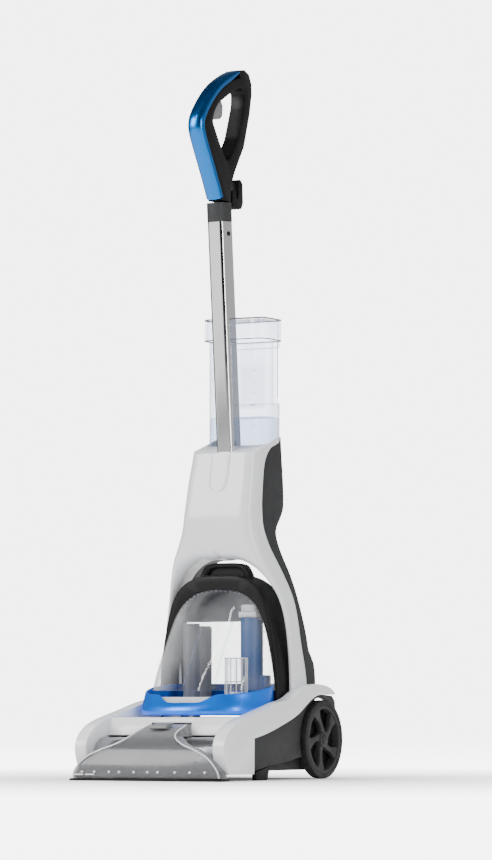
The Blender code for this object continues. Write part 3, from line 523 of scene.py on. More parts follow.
def studio_world():
    """Even white light; polished surfaces mirror bright and dark bands, and the camera sees plain white."""
    world = bpy.data.worlds.new("studio")
    world.use_nodes = True
    tree = world.node_tree
    plain = tree.nodes["Background"]
    wire(tree, plain, {"Color": (1.0, 1.0, 1.0, 1.0), "Strength": 0.50})
    seen = add(tree, "Background", {"Strength": FLOOR_GLOW + 1.7})
    parts = add(tree, "SeparateXYZ", {"Vector": add(tree, "TexCoord", {}).outputs["Generated"]}).outputs
    turn = maths(tree, "ARCTAN2", parts["X"], parts["Y"])
    bands = add(tree, "ValToRGB", {"Fac": ramp(tree, turn, 0.0, 1.0, -math.pi, math.pi)})
    stops = ((0.0, 0.01), (0.034, 0.01), (0.046, 0.85), (0.16, 0.80), (0.20, 0.06), (0.36, 0.04),
             (0.42, 0.27), (0.50, 0.30), (0.60, 0.30), (0.70, 0.28), (0.76, 0.40), (0.83, 0.40),
             (0.85, 0.01), (1.0, 0.01))
    ramp_stops = bands.color_ramp.elements
    while len(ramp_stops) < len(stops):
        ramp_stops.new(1.0)
    for stop, (place, value) in zip(ramp_stops, stops):
        stop.position = place
        stop.color = (value, value, value, 1.0)
    overhead = ramp(tree, parts["Z"], 1.7, 0.2, 0.30, 0.75)
    striped = add(tree, "Background", {"Color": bands.outputs["Color"], "Strength": overhead})
    rays = add(tree, "LightPath", {}).outputs
    lit = blend(tree, rays["Is Glossy Ray"], plain.outputs["Background"], striped.outputs["Background"])
    last = blend(tree, rays["Is Camera Ray"], lit, seen.outputs["Background"])
    tree.links.new(last, tree.nodes["World Output"].inputs["Surface"])
    return world


FINISH = {}


def make_finishes():
    c = bpy.context.scene.washer_colours
    FINISH.update({
        "white": moulded("gloss_white", tuple(c.white), 0.22, 700.0, 0.00004, 0.12, coat=0.35,
                         variation=0.015),
        "dark": moulded("dark_grey", tuple(c.dark), 0.52, 1500.0, 0.00014, 0.45, specular=0.25),
        "black": moulded("satin_black", tuple(c.black), 0.40, 1100.0, 0.00006, 0.2, specular=0.2),
        "grey": moulded("mid_grey", tuple(c.grey), 0.40, 1200.0, 0.0001, 0.3),
        "blue": moulded("tank_blue", tuple(c.blue), 0.34, 800.0, 0.00002, 0.06, coat=0.25, variation=0.03,
                        metallic=0.55),
        # Pale grey for the nozzle's edge bead: a painted highlight along that edge.
        "rim": moulded("painted_highlight_rim", (0.66, 0.67, 0.69), 0.20, 900.0, 0.00003, 0.1, coat=0.3, variation=0.03),
        "tuft": moulded("bristle_black", (0.012, 0.012, 0.013), 0.60, 900.0, 0.0001, 0.4, variation=0.3),
        "stack": moulded("stack_blue", (0.006, 0.075, 0.27), 0.35, 900.0, 0.00004, 0.15),
        "liner": moulded("liner_grey", (0.55, 0.56, 0.58), 0.40, 900.0, 0.00004, 0.15),
        "roller": moulded("roller_grey", (0.36, 0.37, 0.39), 0.24, 1200.0, 0.00004, 0.1, metallic=0.85),
        "trim": lacquer("lacquered_blue", tuple(c.trim)),
        "smoke": clear("clear_dome", tuple(c.smoke), 0.03),
        "nozzle": clear("smoky_nozzle", (0.44, 0.445, 0.46), 0.24, 0.20, 0.006, gloss=0.07),
        "bottle": clear("clear_bottle", tuple(c.bottle), 0.05, gloss=0.16),
        "water": clear("clean_water", tuple(c.water), 0.05, 0.02, gloss=0.10),
        "chrome": polished("bright_chrome", (0.86, 0.86, 0.87), 0.07),
        "steel": polished("drawn_steel", (0.46, 0.46, 0.48), 0.28, 0.2),
        "tyre": rubber("tyre_rubber", (0.008, 0.008, 0.009)),
        "rubber": rubber("seal_rubber", (0.02, 0.02, 0.02)),
    })


SLOT_FINISH = {
    "white_plastic": "white", "dark_plastic": "dark", "black_plastic": "black", "grey_plastic": "grey",
    "blue_plastic": "blue", "blue_trim": "trim", "clear_smoke": "smoke", "clear_bottle": "bottle",
    "brush_plastic": "dark", "chrome": "chrome", "steel": "steel", "tyre": "tyre", "rubber": "rubber",
}


# ---------------------------------------------------------------- pieces that keep their CAD form

def paint_node(node):
    """A CAD node whose shape is right keeps it, and takes its finish."""
    obj = frame["nodes"][node]
    mat = FINISH[SLOT_FINISH[SLOT_OF[node]]]
    if obj.material_slots:
        for entry in obj.material_slots:
            entry.material = mat
    else:
        obj.data.materials.append(mat)


def refined(node, width, finish=None):
    """A copy of a CAD node with its facets merged and its edges rounded, standing for the node."""
    obj = bpy.data.objects.new(node + "_moulding", frame["nodes"][node].data.copy())
    bpy.context.scene.collection.objects.link(obj)
    focus(obj)
    bpy.ops.object.mode_set(mode="EDIT")
    bpy.ops.mesh.select_all(action="SELECT")
    bpy.ops.mesh.remove_doubles(threshold=0.00001)
    bpy.ops.mesh.dissolve_limited(angle_limit=math.radians(1.0))
    bpy.ops.object.mode_set(mode="OBJECT")
    if width:
        bevel(obj, width)
    finish_piece(obj, finish or SLOT_FINISH[SLOT_OF[node]], BODY_OF[node], node, slot=SLOT_OF[node])


# ---------------------------------------------------------------- upper body

SIDES = ((1.0, "right"), (-1.0, "left"))
# In metres: two front outlines as (x, z), then lines that give a depth or a rounding for a height.
BODY_SIDE = ((0.117, 0.086), (0.117, 0.115), (0.117, 0.150), (0.1145, 0.200), (0.110, 0.245),
             (0.102, 0.285), (0.089, 0.322), (0.0755, 0.356), (0.0665, 0.388), (0.0634, 0.420),
             (0.0625, 0.460), (0.0600, 0.500), (0.0575, 0.545), (0.0565, 0.565))
BODY_ARCH = ((0.109, 0.086), (0.109, 0.115), (0.109, 0.155), (0.1075, 0.198), (0.103, 0.240), (0.0945, 0.277),
             (0.0810, 0.306), (0.0620, 0.327), (0.0350, 0.341), (0.0, 0.3465), (0.0, 0.400), (0.0, 0.450),
             (0.0, 0.520), (0.0, 0.565))
FRONT_LINE = ((0.08, 0.060), (0.132, 0.060), (0.215, 0.058), (0.280, 0.050), (0.315, 0.034), (0.345, 0.021),
              (0.400, 0.020), (0.450, 0.0285), (0.500, 0.040), (0.565, 0.052))
SEAM_LINE = ((0.08, 0.107), (0.130, 0.105), (0.155, 0.1036), (0.216, 0.092), (0.278, 0.0875), (0.330, 0.075),
             (0.369, 0.063), (0.401, 0.058), (0.444, 0.060), (0.480, 0.067), (0.502, 0.077), (0.520, 0.097),
             (0.530, 0.1245), (0.57, 0.1295))
BACK_LINE = ((0.08, 0.130), (0.150, 0.136), (0.184, 0.132), (0.196, 0.1205), (0.216, 0.1165), (0.278, 0.105),
             (0.320, 0.103), (0.355, 0.0985), (0.375, 0.0975), (0.389, 0.101), (0.415, 0.124), (0.430, 0.131),
             (0.57, 0.131))
EDGE_ROUND = ((0.08, 0.003), (0.200, 0.0032), (0.250, 0.005), (0.300, 0.009), (0.350, 0.015), (0.400, 0.019),
              (0.500, 0.019), (0.57, 0.017))
ARCH_ROUND = ((0.08, 0.0026), (0.200, 0.0030), (0.250, 0.005), (0.300, 0.009), (0.345, 0.014), (0.57, 0.014))


def gap_to(point, line):
    """Shortest distance from a point to a line of points, in the front view."""
    best = 1.0
    px, pz = point
    for (ax, az), (bx, bz) in zip(line, line[1:]):
        dx, dz = bx - ax, bz - az
        size = dx * dx + dz * dz
        t = 0.0 if size == 0 else max(0.0, min(1.0, ((px - ax) * dx + (pz - az) * dz) / size))
        best = min(best, math.hypot(px - ax - dx * t, pz - az - dz * t))
    return best


def rolled(gap, radius):
    """How far a rounded edge falls back at a distance from it."""
    if gap >= radius:
        return 0.0
    return radius - math.sqrt(max(0.0, radius ** 2 - (radius - gap) ** 2))


def body_half(name, front_of, back_of):
    """The right half of a tower that stands on an arm, between a front and a back surface."""
    sides = catmull(BODY_SIDE, 5)
    arch_line = catmull(BODY_ARCH, 5)
    arch_only = [p for p in arch_line if p[1] <= 0.347]
    across = 18
    spots = [(1 - math.cos(math.pi * k / across)) / 2 for k in range(across + 1)]
    rings = []
    for outer, inner in zip(sides, arch_line):
        row = [(inner[0] + (outer[0] - inner[0]) * t, inner[1] + (outer[1] - inner[1]) * t) for t in spots]
        fall = [(gap_to(p, sides), gap_to(p, arch_only)) for p in row]
        front = [(p[0], front_of(p[1], g), p[1]) for p, g in zip(row, fall)]
        rear = [(p[0], back_of(p[1], g), p[1]) for p, g in zip(row, fall)]
        side = [tuple(Vector(front[-1]).lerp(Vector(rear[-1]), t)) for t in (0.33, 0.66)]
        wall = [tuple(Vector(rear[0]).lerp(Vector(front[0]), t)) for t in (0.33, 0.66)]
        rings.append(front + side + list(reversed(rear)) + wall)
    return loft(name, rings)


def mirror_half(obj):
    """Drops the faces on the middle plane and mirrors the half across it."""
    focus(obj)
    bpy.ops.object.mode_set(mode="EDIT")
    bpy.ops.mesh.select_mode(type="FACE")
    bm = bmesh.from_edit_mesh(obj.data)
    for face in bm.faces:
        face.select_set(all(abs(v.co.x) < 1e-6 for v in face.verts))
    bmesh.update_edit_mesh(obj.data)
    bpy.ops.mesh.delete(type="FACE")
    bpy.ops.mesh.select_mode(type="VERT")
    bpy.ops.object.mode_set(mode="OBJECT")
    mod = obj.modifiers.new("both sides", "MIRROR")
    mod.use_axis[0] = True
    mod.use_clip = True
    mod.merge_threshold = 0.00005
    apply_all(obj)
    recalc(obj)
    return obj


def trim_plane(obj, point, normal):
    """Cuts away what lies beyond a plane and closes the cut."""
    focus(obj)
    bpy.ops.object.mode_set(mode="EDIT")
    bpy.ops.mesh.select_all(action="SELECT")
    bpy.ops.mesh.bisect(plane_co=point, plane_no=normal, use_fill=True, clear_outer=True)
    bpy.ops.object.mode_set(mode="OBJECT")


def bottle_pocket():
    rings = [[(x, y, z) for x, y in rounded_box(0.0560, (0.0838, 0.1440), 0.011)] for z in (0.4895, 0.62)]
    return loft("bottle_pocket", rings)


def white_front(z, gaps):
    edge, arch_edge = gaps
    return (hermite(FRONT_LINE, z)[0] + rolled(edge, hermite(EDGE_ROUND, z)[0])
            + 1.4 * rolled(arch_edge, hermite(ARCH_ROUND, z)[0]))


def white_back(z, gaps):
    return hermite(SEAM_LINE, z)[0]


def dark_front(z, gaps):
    return min(hermite(SEAM_LINE, z)[0] + 0.0008, dark_back(z, gaps) - 0.0010)


def dark_back(z, gaps):
    edge, arch_edge = gaps
    return hermite(BACK_LINE, z)[0] - rolled(edge, 0.004) - rolled(arch_edge, 0.003)


def upper_body():
    """White front and dark rear mouldings of the body, with the bottle's pocket in both."""
    for node, front_of, back_of, slot, finish, top in (
            ("body_front", white_front, white_back, "white_plastic", "white", (0.0, 0.044, 0.5095)),
            ("body_rear", dark_front, dark_back, "dark_plastic", "dark", (0.0, 0.044, 0.5085))):
        obj = mirror_half(body_half(node + "_moulding", front_of, back_of))
        trim_plane(obj, top, (0.0, -0.32, 0.947))
        cut(obj, bottle_pocket())
        bevel(obj, 0.0010, 2, 50.0)
        finish_piece(obj, finish, "upper_body", node, slot=slot, angle=40.0)


def neck_boss():
    """The raised tongue on the body's front, under the stem."""
    rings = []
    low, wide, round_z = 0.4470, 0.0180, 0.0180
    heights = [low + round_z * (1 - math.cos(math.pi / 2 * k / 10)) for k in range(11)]
    heights += [0.4650 + 0.0420 * k / 8 for k in range(1, 9)]
    section = ((-1.0, -0.0012), (-0.97, 0.0004), (-0.90, 0.0010), (-0.5, 0.0012), (0.0, 0.0012),
               (0.5, 0.0012), (0.90, 0.0010), (0.97, 0.0004), (1.0, -0.0012), (0.0, -0.0012))
    for z in heights:
        share = min(1.0, (z - low) / round_z)
        half = max(0.0012, wide * math.sqrt(1 - (1 - share) ** 2))
        rings.append([(half * x, hermite(FRONT_LINE, z)[0] - lift, z) for x, lift in section])
    obj = loft("body_neck_boss", rings)
    finish_piece(obj, "white", "upper_body", slot="white_plastic", angle=60.0)


# ---------------------------------------------------------------- recovery tank

# For a height: the dome's half width, where it is widest, and its front.
DOME_LINES = ((0.137, 0.102, 0.020, -0.066), (0.175, 0.098, 0.026, -0.044), (0.215, 0.090, 0.034, -0.018),
              (0.250, 0.082, 0.040, 0.005), (0.270, 0.0735, 0.0435, 0.0170), (0.280, 0.068, 0.046, 0.024),
              (0.291, 0.0575, 0.0495, 0.0320), (0.2965, 0.046, 0.052, 0.0385), (0.298, 0.034, 0.054, 0.0450))
HOOD_PATH = ((0.1076, 0.119), (0.1074, 0.135), (0.1070, 0.150), (0.1054, 0.176), (0.0997, 0.215),
             (0.0925, 0.250), (0.083, 0.280), (0.066, 0.302), (0.038, 0.3155), (0.0, 0.3180))
HOOD_INSIDE = ((0.0990, 0.119), (0.0995, 0.135), (0.1010, 0.150), (0.0998, 0.176), (0.0930, 0.215),
               (0.0850, 0.250), (0.0715, 0.280), (0.053, 0.2985), (0.030, 0.3035), (0.0, 0.3045))
HOOD_LIP = ((0.0985, 0.119), (0.0980, 0.135), (0.0985, 0.150), (0.0950, 0.176), (0.0880, 0.213),
            (0.0780, 0.246), (0.0655, 0.270), (0.0480, 0.285), (0.0260, 0.2925), (0.0, 0.2945))


def both_halves(rings):
    """Rings from one side to the middle plane, carried on as mirror images to the other side."""
    return rings + [[(-x, y, z) for x, y, z in ring] for ring in reversed(rings[:-1])]


def across(line):
    """A front view line from one side to the middle, carried on as a mirror image."""
    return line + [(-x, z) for x, z in reversed(line[:-1])]


def dome_ring(z):
    """The dome's outline at a height."""
    half, middle, front = hermite(DOME_LINES, z)
    return superellipse(half, front, middle, 0.0745, 1.9, 6.0, z)


def tank_dome():
    """The clear dome, a thin wall with a closed crown."""
    heights = [0.1375 + 0.150 * k / 22 for k in range(23)] + [0.291, 0.2935, 0.2955, 0.2970, 0.2980]
    obj = loft("tank_dome_shell", [dome_ring(z) for z in heights], caps=(False, True))
    shell(obj, bpy.context.scene.washer_sizes.dome_wall)
    finish_piece(obj, "smoke", "recovery_tank", "tank_dome", slot="clear_smoke", angle=50.0)


def base_ring(z, half, front, middle):
    """The band's outline at a height, narrower where the hood's feet stand beside it."""
    ring = []
    for x, y, _ in superellipse(half, front, middle, 0.0825, 2.15, 5.0, z):
        limit = half - 0.0095 * smooth_step(0.022, 0.030, y)
        ring.append((math.copysign(min(abs(x), limit), x), y, z))
    return ring


def smooth_step(low, high, value):
    t = max(0.0, min(1.0, (value - low) / (high - low)))
    return t * t * (3 - 2 * t)


def rim_height(x, y):
    """The band's top edge: low at the front middle, swept up along the sides."""
    sweep = 0.1300 + 0.0175 * smooth_step(-0.070, 0.060, y)
    dip = 0.0125 * (1 - smooth_step(0.026, 0.054, abs(x))) * (1 - smooth_step(-0.050, -0.030, y))
    return sweep - dip


def tank_base():
    """The blue band under the dome, with a rolled top edge and an inner wall."""
    lines = ((0.0985, 0.1030, -0.0845, 0.0), (0.1000, 0.1055, -0.0872, 0.0), (0.1040, 0.1072, -0.0895, 0.0),
             (0.1120, 0.1076, -0.0870, 0.003), (0.1200, 0.1075, -0.0800, 0.006),
             (0.1500, 0.1070, -0.0620, 0.012))
    shares = (0.0, 0.04, 0.12, 0.25, 0.40, 0.55, 0.70, 0.82, 0.91, 0.97, 1.0)
    foot = lines[0][0]

    def ring_at(share, inset, rise=0.0):
        """A ring part of the way up to the rim, whose height there and plan place are found together."""
        points = []
        for k in range(PLAN_POINTS):
            top = 0.13
            for _ in range(4):
                z = foot + (top + rise - foot) * share
                half, front, middle = hermite(lines, z)
                x, y, _z = base_ring(z, half - inset, front + inset, middle)[k]
                top = rim_height(x, y)
            points.append((x, y, foot + (top + rise - foot) * share))
        return points

    rings = [ring_at(share, 0.0) for share in shares]
    rings += [ring_at(1.0, 0.0010, 0.0008), ring_at(1.0, 0.0022, 0.0008)]
    rings += [ring_at(share, 0.0030) for share in (1.0, 0.6, 0.2)]
    obj = loft("tank_base_band", rings)
    finish_piece(obj, "blue", "recovery_tank", "tank_base", slot="blue_plastic", angle=55.0)


def tank_hood():
    """The black hood: an arch with a broad lip round the dome, its carrying bar, back plates and lip ribs;
    the black plate behind the bar paints the shade in the bar's opening.
    """
    outer = catmull(HOOD_PATH, 6)
    inner = catmull(HOOD_INSIDE, 6)
    lip = catmull(HOOD_LIP, 6)
    front, back = 0.0312, 0.0823
    rings = []
    for o, i, l in zip(outer, inner, lip):
        side = Vector((o[0] - l[0], o[1] - l[1]))
        side.normalize()

        def at(base, step, y):
            return (base[0] + side.x * step, y, base[1] + side.y * step)

        rings.append([at(l, 0.0, front + 0.0026), at(l, 0.0006, front + 0.0008), at(l, 0.0018, front),
                      at(o, -0.0050, front), at(o, -0.0026, front + 0.0006), at(o, -0.0008, front + 0.0024),
                      at(o, 0.0, front + 0.0052), at(o, 0.0, 0.052), at(o, 0.0, back - 0.001),
                      at(o, -0.001, back), at(i, 0.0, back), at(i, 0.0, front + 0.0060)])
    obj = loft("tank_hood_shell", both_halves(rings))
    finish_piece(obj, "black", "recovery_tank", "tank_hood", slot="black_plastic", angle=35.0)
    bar_out = catmull([(0.048, 0.3105), (0.0435, 0.322), (0.036, 0.3325), (0.020, 0.3365), (0.0, 0.3370)], 5)
    bar_in = catmull([(0.034, 0.3135), (0.0315, 0.3215), (0.027, 0.3265), (0.018, 0.3290), (0.0, 0.3292)], 5)
    section = ((0.0, 0.0540), (0.3, 0.0520), (0.7, 0.0520), (1.0, 0.0540),
               (1.0, 0.0640), (0.7, 0.0660), (0.3, 0.0660), (0.0, 0.0640))
    rings = [[(i[0] * (1 - t) + o[0] * t, y, i[1] * (1 - t) + o[1] * t) for t, y in section]
             for o, i in zip(bar_out, bar_in)]
    bar = loft("tank_hood_bar", both_halves(rings))
    finish_piece(bar, "black", "recovery_tank", slot="black_plastic", angle=45.0)
    # A black plate behind the bar's opening: painted shade where the hollow behind the bar lies in shadow.
    outline = across(bar_in) + [(-0.034, 0.306), (0.034, 0.306)]
    recess = slab("tank_bar_shade_plate", outline, "Y", (0.0590, 0.0620))
    finish_piece(recess, "black", "recovery_tank", slot="black_plastic")
    outline = [(x * 1.02, z + 0.001) for x, z in across([p for p in inner if p[1] > 0.2395])]
    panel = slab("tank_hood_back", outline, "Y", (0.0790, 0.0820))
    bevel(panel, 0.0005, 2)
    finish_piece(panel, "grey", "recovery_tank", slot="black_plastic")
    teeth = []
    for x, z in [p for p in lip if p[1] > 0.225][::2]:
        for middle in (0.985 * x, -0.985 * x) if x else (0.0,):
            teeth.append(cube("tooth", (middle - 0.0011, middle + 0.0011),
                              (front - 0.0004, front + 0.0010), (z - 0.0032, z - 0.0012)))
    ribs = joined("tank_lip_ribs", teeth)
    bevel(ribs, 0.0003, 2)
    finish_piece(ribs, "grey", "recovery_tank", slot="clear_smoke")


def tank_inside():
    """What shows through the dome: riser, stack with its cap, float and cage, pale liner and guides."""
    for node in ("riser_duct", "stack_cap", "float_cage", "tank_float"):
        refined(node, 0.0006)
    refined("tank_stack", 0.0006, finish="stack")
    side = drum("tank_stack_side", (0.0715, 0.0500), 0.0105, (0.1032, 0.1610), "Z", 40)
    bevel(side, 0.0012, 3)
    finish_piece(side, "stack", "recovery_tank", slot="blue_plastic")
    knob = drum("stack_cap_knob", (0.0500, 0.0465), 0.0155, (0.2598, 0.2705), "Z", 48)
    bevel(knob, 0.0016, 3)
    finish_piece(knob, "white", "recovery_tank", slot="white_plastic")
    corners = [(-0.086, 0.1010), (-0.034, 0.1010), (-0.034, 0.2390), (-0.0795, 0.2390)]
    plate = slab("riser_back", softened(corners, 0.006), "Y", (0.0672, 0.0705))
    bevel(plate, 0.0006, 2)
    finish_piece(plate, "grey", "recovery_tank", slot="grey_plastic")
    lines = ((0.1016, 0.1000, -0.0820), (0.1060, 0.1010, -0.0830), (0.1200, 0.0975, -0.0735),
             (0.1270, 0.0965, -0.0690))
    rings = [superellipse(half - 0.0022, front + 0.0022, 0.004, 0.0780, 2.1, 5.0, z)
             for z, half, front in lines]
    liner = loft("tank_liner", rings, caps=(True, False))
    shell(liner, 0.0012)
    finish_piece(liner, "liner", "recovery_tank", slot="grey_plastic", angle=45.0)
    centre = (0.048, 0.004)
    bars = [drum("rib", spot, 0.0009, (0.1034, 0.1870), "Z", 8)
            for spot in arc(centre, 0.0172, 0.0, 330.0, 11)]
    outside, inside = (arc(centre, radius, 0.0, 351.0, 39) for radius in (0.0184, 0.0162))
    for low in (0.1500, 0.1862):
        bars.append(ring_slab("hoop", outside, inside, "Z", (low, low + 0.0016)))
    cage = joined("float_cage_ribs", bars)
    bevel(cage, 0.0002, 1)
    finish_piece(cage, "white", "recovery_tank", slot="clear_smoke")
    for name, path in (("left", ((-0.052, 0.010, 0.138), (-0.044, 0.018, 0.175), (-0.034, 0.024, 0.215),
                                 (-0.022, 0.030, 0.250))),
                       ("right", ((0.004, 0.012, 0.140), (0.010, 0.016, 0.175), (0.020, 0.022, 0.215),
                                  (0.029, 0.030, 0.248)))):
        rings = [[(x + 0.0015 * u, y + 0.0030 * v, z) for u, v in arc((0.0, 0.0), 1.0, 0.0, 330.0, 11)]
                 for x, y, z in catmull(path, 6)]
        guide = loft("dome_guide_" + name, rings)
        finish_piece(guide, "bottle", "recovery_tank", slot="clear_smoke", angle=60.0)


# ---------------------------------------------------------------- floor head

BRUSH_Y, BRUSH_Z = -0.128, 0.032
SIDE_TOP = ((0.1725, 0.1312), (0.1690, 0.1350), (0.1600, 0.1400), (0.1390, 0.1452), (0.1000, 0.1472),
            (0.0710, 0.1412), (0.0290, 0.1245), (-0.0040, 0.1185), (-0.0550, 0.1070), (-0.1030, 0.0968),
            (-0.1250, 0.0915), (-0.1480, 0.0838), (-0.1660, 0.0725), (-0.1770, 0.0590),
            (-0.1790, 0.0460), (-0.1745, 0.0300),
            (-0.1680, 0.0160), (-0.1630, 0.0100))
SIDE_UNDER = ((-0.0870, 0.0100), (-0.0864, 0.0640), (-0.0500, 0.0705), (-0.0090, 0.0810), (0.0510, 0.1000),
              (0.0900, 0.1210), (0.1130, 0.1295), (0.1500, 0.1312))


def base_side(side):
    """One white side of the floor head: the front cheek and the wing that sweeps back over the wheel."""
    top = catmull(SIDE_TOP, 5)
    under = [SIDE_UNDER[0]] + catmull(SIDE_UNDER[1:], 4)
    inner, outer = side * 0.1116, side * 0.1315
    obj = slab("base_side_" + ("right" if side > 0 else "left"), top + under, "X", (inner, outer))
    focus(obj)
    bpy.ops.object.mode_set(mode="EDIT")
    bpy.ops.mesh.select_mode(type="EDGE")
    pick_edges(obj, lambda e: all(abs(v.co.x - outer) < 1e-5 for v in e.verts)
               and min(v.co.z for v in e.verts) > 0.0101
               and not any(abs(v.co.y + 0.0864) < 0.0004 and v.co.z < 0.066 for v in e.verts))
    bpy.ops.mesh.bevel(offset=0.0042, segments=5, affect="EDGES", clamp_overlap=True)
    bpy.ops.mesh.select_mode(type="VERT")
    bpy.ops.object.mode_set(mode="OBJECT")
    bevel(obj, 0.0010, 2, 50.0)
    return obj


def white_part(obj, *nodes, angle=32.0):
    finish_piece(obj, "white", "floor_head", *nodes, slot="white_plastic", angle=angle)


def floor_shell():
    """White deck, front apron and both sides of the floor head."""
    white_part(base_side(1.0), "base_shell", angle=40.0)
    white_part(base_side(-1.0), angle=40.0)
    plate = [(-0.0985, 0.0958), (-0.0960, 0.0962), (0.0500, 0.0962), (0.0500, 0.0942), (-0.0960, 0.0940)]
    deck = slab("base_deck", plate, "X", (-0.1118, 0.1118))
    bevel(deck, 0.0006, 2)
    white_part(deck)
    roof_line = catmull([(0.0500, 0.0962), (0.0800, 0.0962), (0.1050, 0.0920), (0.1350, 0.0790),
                         (0.1638, 0.0660)], 4)
    below = [(y - 0.0006, z - 0.0020) for y, z in reversed(roof_line)]
    roof = slab("base_rear_deck", roof_line + below, "X", (-0.1083, 0.1083))
    bevel(roof, 0.0005, 2)
    white_part(roof)
    fall = catmull([(-0.0968, 0.0962), (-0.1010, 0.0957), (-0.1060, 0.0930), (-0.1110, 0.0868),
                    (-0.1150, 0.0785), (-0.1172, 0.0690)], 5)

    def folded(line):
        """A thin sheet that follows the line, there and back."""
        return line + [(y + 0.0020, z - 0.0012) for y, z in reversed(line)]

    for name, span in (("right", (0.0360, 0.1117)), ("left", (-0.1117, -0.0360))):
        apron = slab("base_apron_" + name, folded(fall), "X", span)
        bevel(apron, 0.0006, 2, 50.0)
        white_part(apron, angle=45.0)
    middle = slab("base_apron_middle", folded([p for p in fall if p[1] > 0.0880]), "X", (-0.0362, 0.0362))
    white_part(middle, angle=45.0)


def roller_cover():
    """The glossy half-round cover over the brush roll."""
    outside = arc((BRUSH_Y, BRUSH_Z), 0.0336, 187.0, 4.0, 44)
    inside = arc((BRUSH_Y, BRUSH_Z), 0.0312, 4.0, 187.0, 44)
    obj = slab("brush_housing_cover", outside + inside, "X", (-0.1108, 0.1108))
    bevel(obj, 0.0005, 2, 50.0)
    finish_piece(obj, "roller", "floor_head", "brush_housing", slot="dark_plastic", angle=30.0)


def nozzle_trim():
    """Moulded studs and short bars along the nozzle's lower edge, white as painted highlights of the small
    glints there.
    """
    studs = [drum("stud", (x, 0.0135), 0.0019, (-0.1903, -0.1868), "Y", 12)
             for x in (-0.112, -0.090, -0.064, -0.046, -0.020, 0.004, 0.022, 0.052, 0.078, 0.104)]
    bars = [cube("bar", (x - 0.008, x + 0.008), (-0.1903, -0.1870), (0.0085, 0.0103))
            for x in (-0.118, -0.098)]
    obj = joined("nozzle_studs", studs + bars)
    bevel(obj, 0.0004, 2)
    # White studs and bars: painted highlights for the glints along the nozzle's lip.
    finish_piece(obj, "white", "nozzle", slot="clear_smoke")


def bead(name, path, radius, sides=10):
    """A round bead laid along a line of points."""
    rings = []
    for k, point in enumerate(path):
        along = (Vector(path[min(k + 1, len(path) - 1)]) - Vector(path[max(k - 1, 0)])).normalized()
        first = along.cross(Vector((0.0, 1.0, 0.0))).normalized()
        second = along.cross(first)
        rings.append([tuple(Vector(point) + first * (radius * math.cos(2 * math.pi * n / sides))
                            + second * (radius * math.sin(2 * math.pi * n / sides))) for n in range(sides)])
    return loft(name, rings)


NOZZLE_SKIN = ((0.0040, -0.1880), (0.0200, -0.1895), (0.0460, -0.1840), (0.0640, -0.1720), (0.0725, -0.1580),
               (0.0850, -0.1200))
NOZZLE_EDGE = ((0.1290, 0.0050), (0.1272, 0.0140), (0.1105, 0.0335), (0.0850, 0.0465), (0.0600, 0.0555),
               (0.0405, 0.0675), (0.0350, 0.0780), (0.0342, 0.0835))


def nozzle_bead(side, label):
    """The raised rim that follows the nozzle's edge from the lip up to its neck, pale as a painted highlight
    along that edge.
    """
    path = [(side * (x - 0.0010), hermite(NOZZLE_SKIN, z)[0] - 0.0002, z) for x, z in catmull(NOZZLE_EDGE, 5)]
    obj = bead("nozzle_rim_" + label, path, 0.0013)
    # Pale finish: a painted highlight along the nozzle's edge.
    finish_piece(obj, "rim", "nozzle", slot="clear_smoke", angle=50.0)


def brush_tufts():
    """Lines of bristle tufts between the roll's four ribs."""
    lines = []
    for quarter in range(4):
        for lean in (32.0, 58.0):
            deselect()
            bpy.ops.mesh.primitive_cone_add(vertices=7, radius1=0.0015, radius2=0.0022, depth=0.0086,
                                            location=(-0.0885, BRUSH_Y, BRUSH_Z + 0.0250))
            line = named("tuft_line")
            settle(line)
            row = line.modifiers.new("row of tufts", "ARRAY")
            row.count = 25
            row.use_relative_offset = False
            row.use_constant_offset = True
            row.constant_offset_displace = (0.0076, 0.0, 0.0)
            apply_all(line)
            lines.append(turned(line, BRUSH_Y, BRUSH_Z, 90.0 * quarter + lean))
    tufts = joined("brush_tufts", lines)
    finish_piece(tufts, "tuft", "brush", slot="brush_plastic", angle=50.0)


# ---------------------------------------------------------------- wheels

WHEEL_Y, WHEEL_Z = 0.1325, 0.0613


def spoke(side):
    """A broad curved spoke between the hub and the rim."""
    left, right = [], []
    for k in range(11):
        t = k / 10
        r = 0.0090 + 0.0400 * t
        lean = 0.46 * math.sin(t * 1.7)
        half = (0.0070 + 0.0046 * t - 0.0048 * math.sin(math.pi * t)) / r
        for line, turn in ((left, lean + half), (right, lean - half)):
            line.append((WHEEL_Y + r * math.cos(turn), WHEEL_Z + r * math.sin(turn)))
    return slab("spoke", left + right[::-1], "X", (side * 0.1235, side * 0.1318))


def wheel(side, label):
    """A rear wheel: rim, five curved spokes, domed hub and a black disc behind them, painted shade for the
    dark inside seen through the spokes.
    """
    outer, inner = (arc((WHEEL_Y, WHEEL_Z), radius, 0.0, 355.0, 71) for radius in (0.0532, 0.0478))
    parts = [ring_slab("rim", outer, inner, "X", (side * 0.1188, side * 0.1334))]
    for k in range(5):
        parts.append(turned(spoke(side), WHEEL_Y, WHEEL_Z, 72.0 * k + 18.0))
    parts.append(drum("hub", (WHEEL_Y, WHEEL_Z), 0.0125, sorted((side * 0.1190, side * 0.1335)), "X", 48))
    for part in parts:
        bevel(part, 0.0009, 2, 40.0)
    obj = joined("wheel_disc_" + label, parts)
    finish_piece(obj, "dark", label + "_wheel", "wheel_" + label, slot=SLOT_OF["wheel_" + label])
    # Black disc behind the spokes: painted shade for the shaded inside of the wheel.
    shade_disc = drum("wheel_shade_disc_" + label, (WHEEL_Y, WHEEL_Z), 0.0480, sorted((side * 0.1200, side * 0.1212)),
               "X", 64)
    bevel(shade_disc, 0.0003, 2)
    finish_piece(shade_disc, "black", label + "_wheel", slot=SLOT_OF["wheel_" + label])
    refined("wheel_cap_" + label, 0.0006)


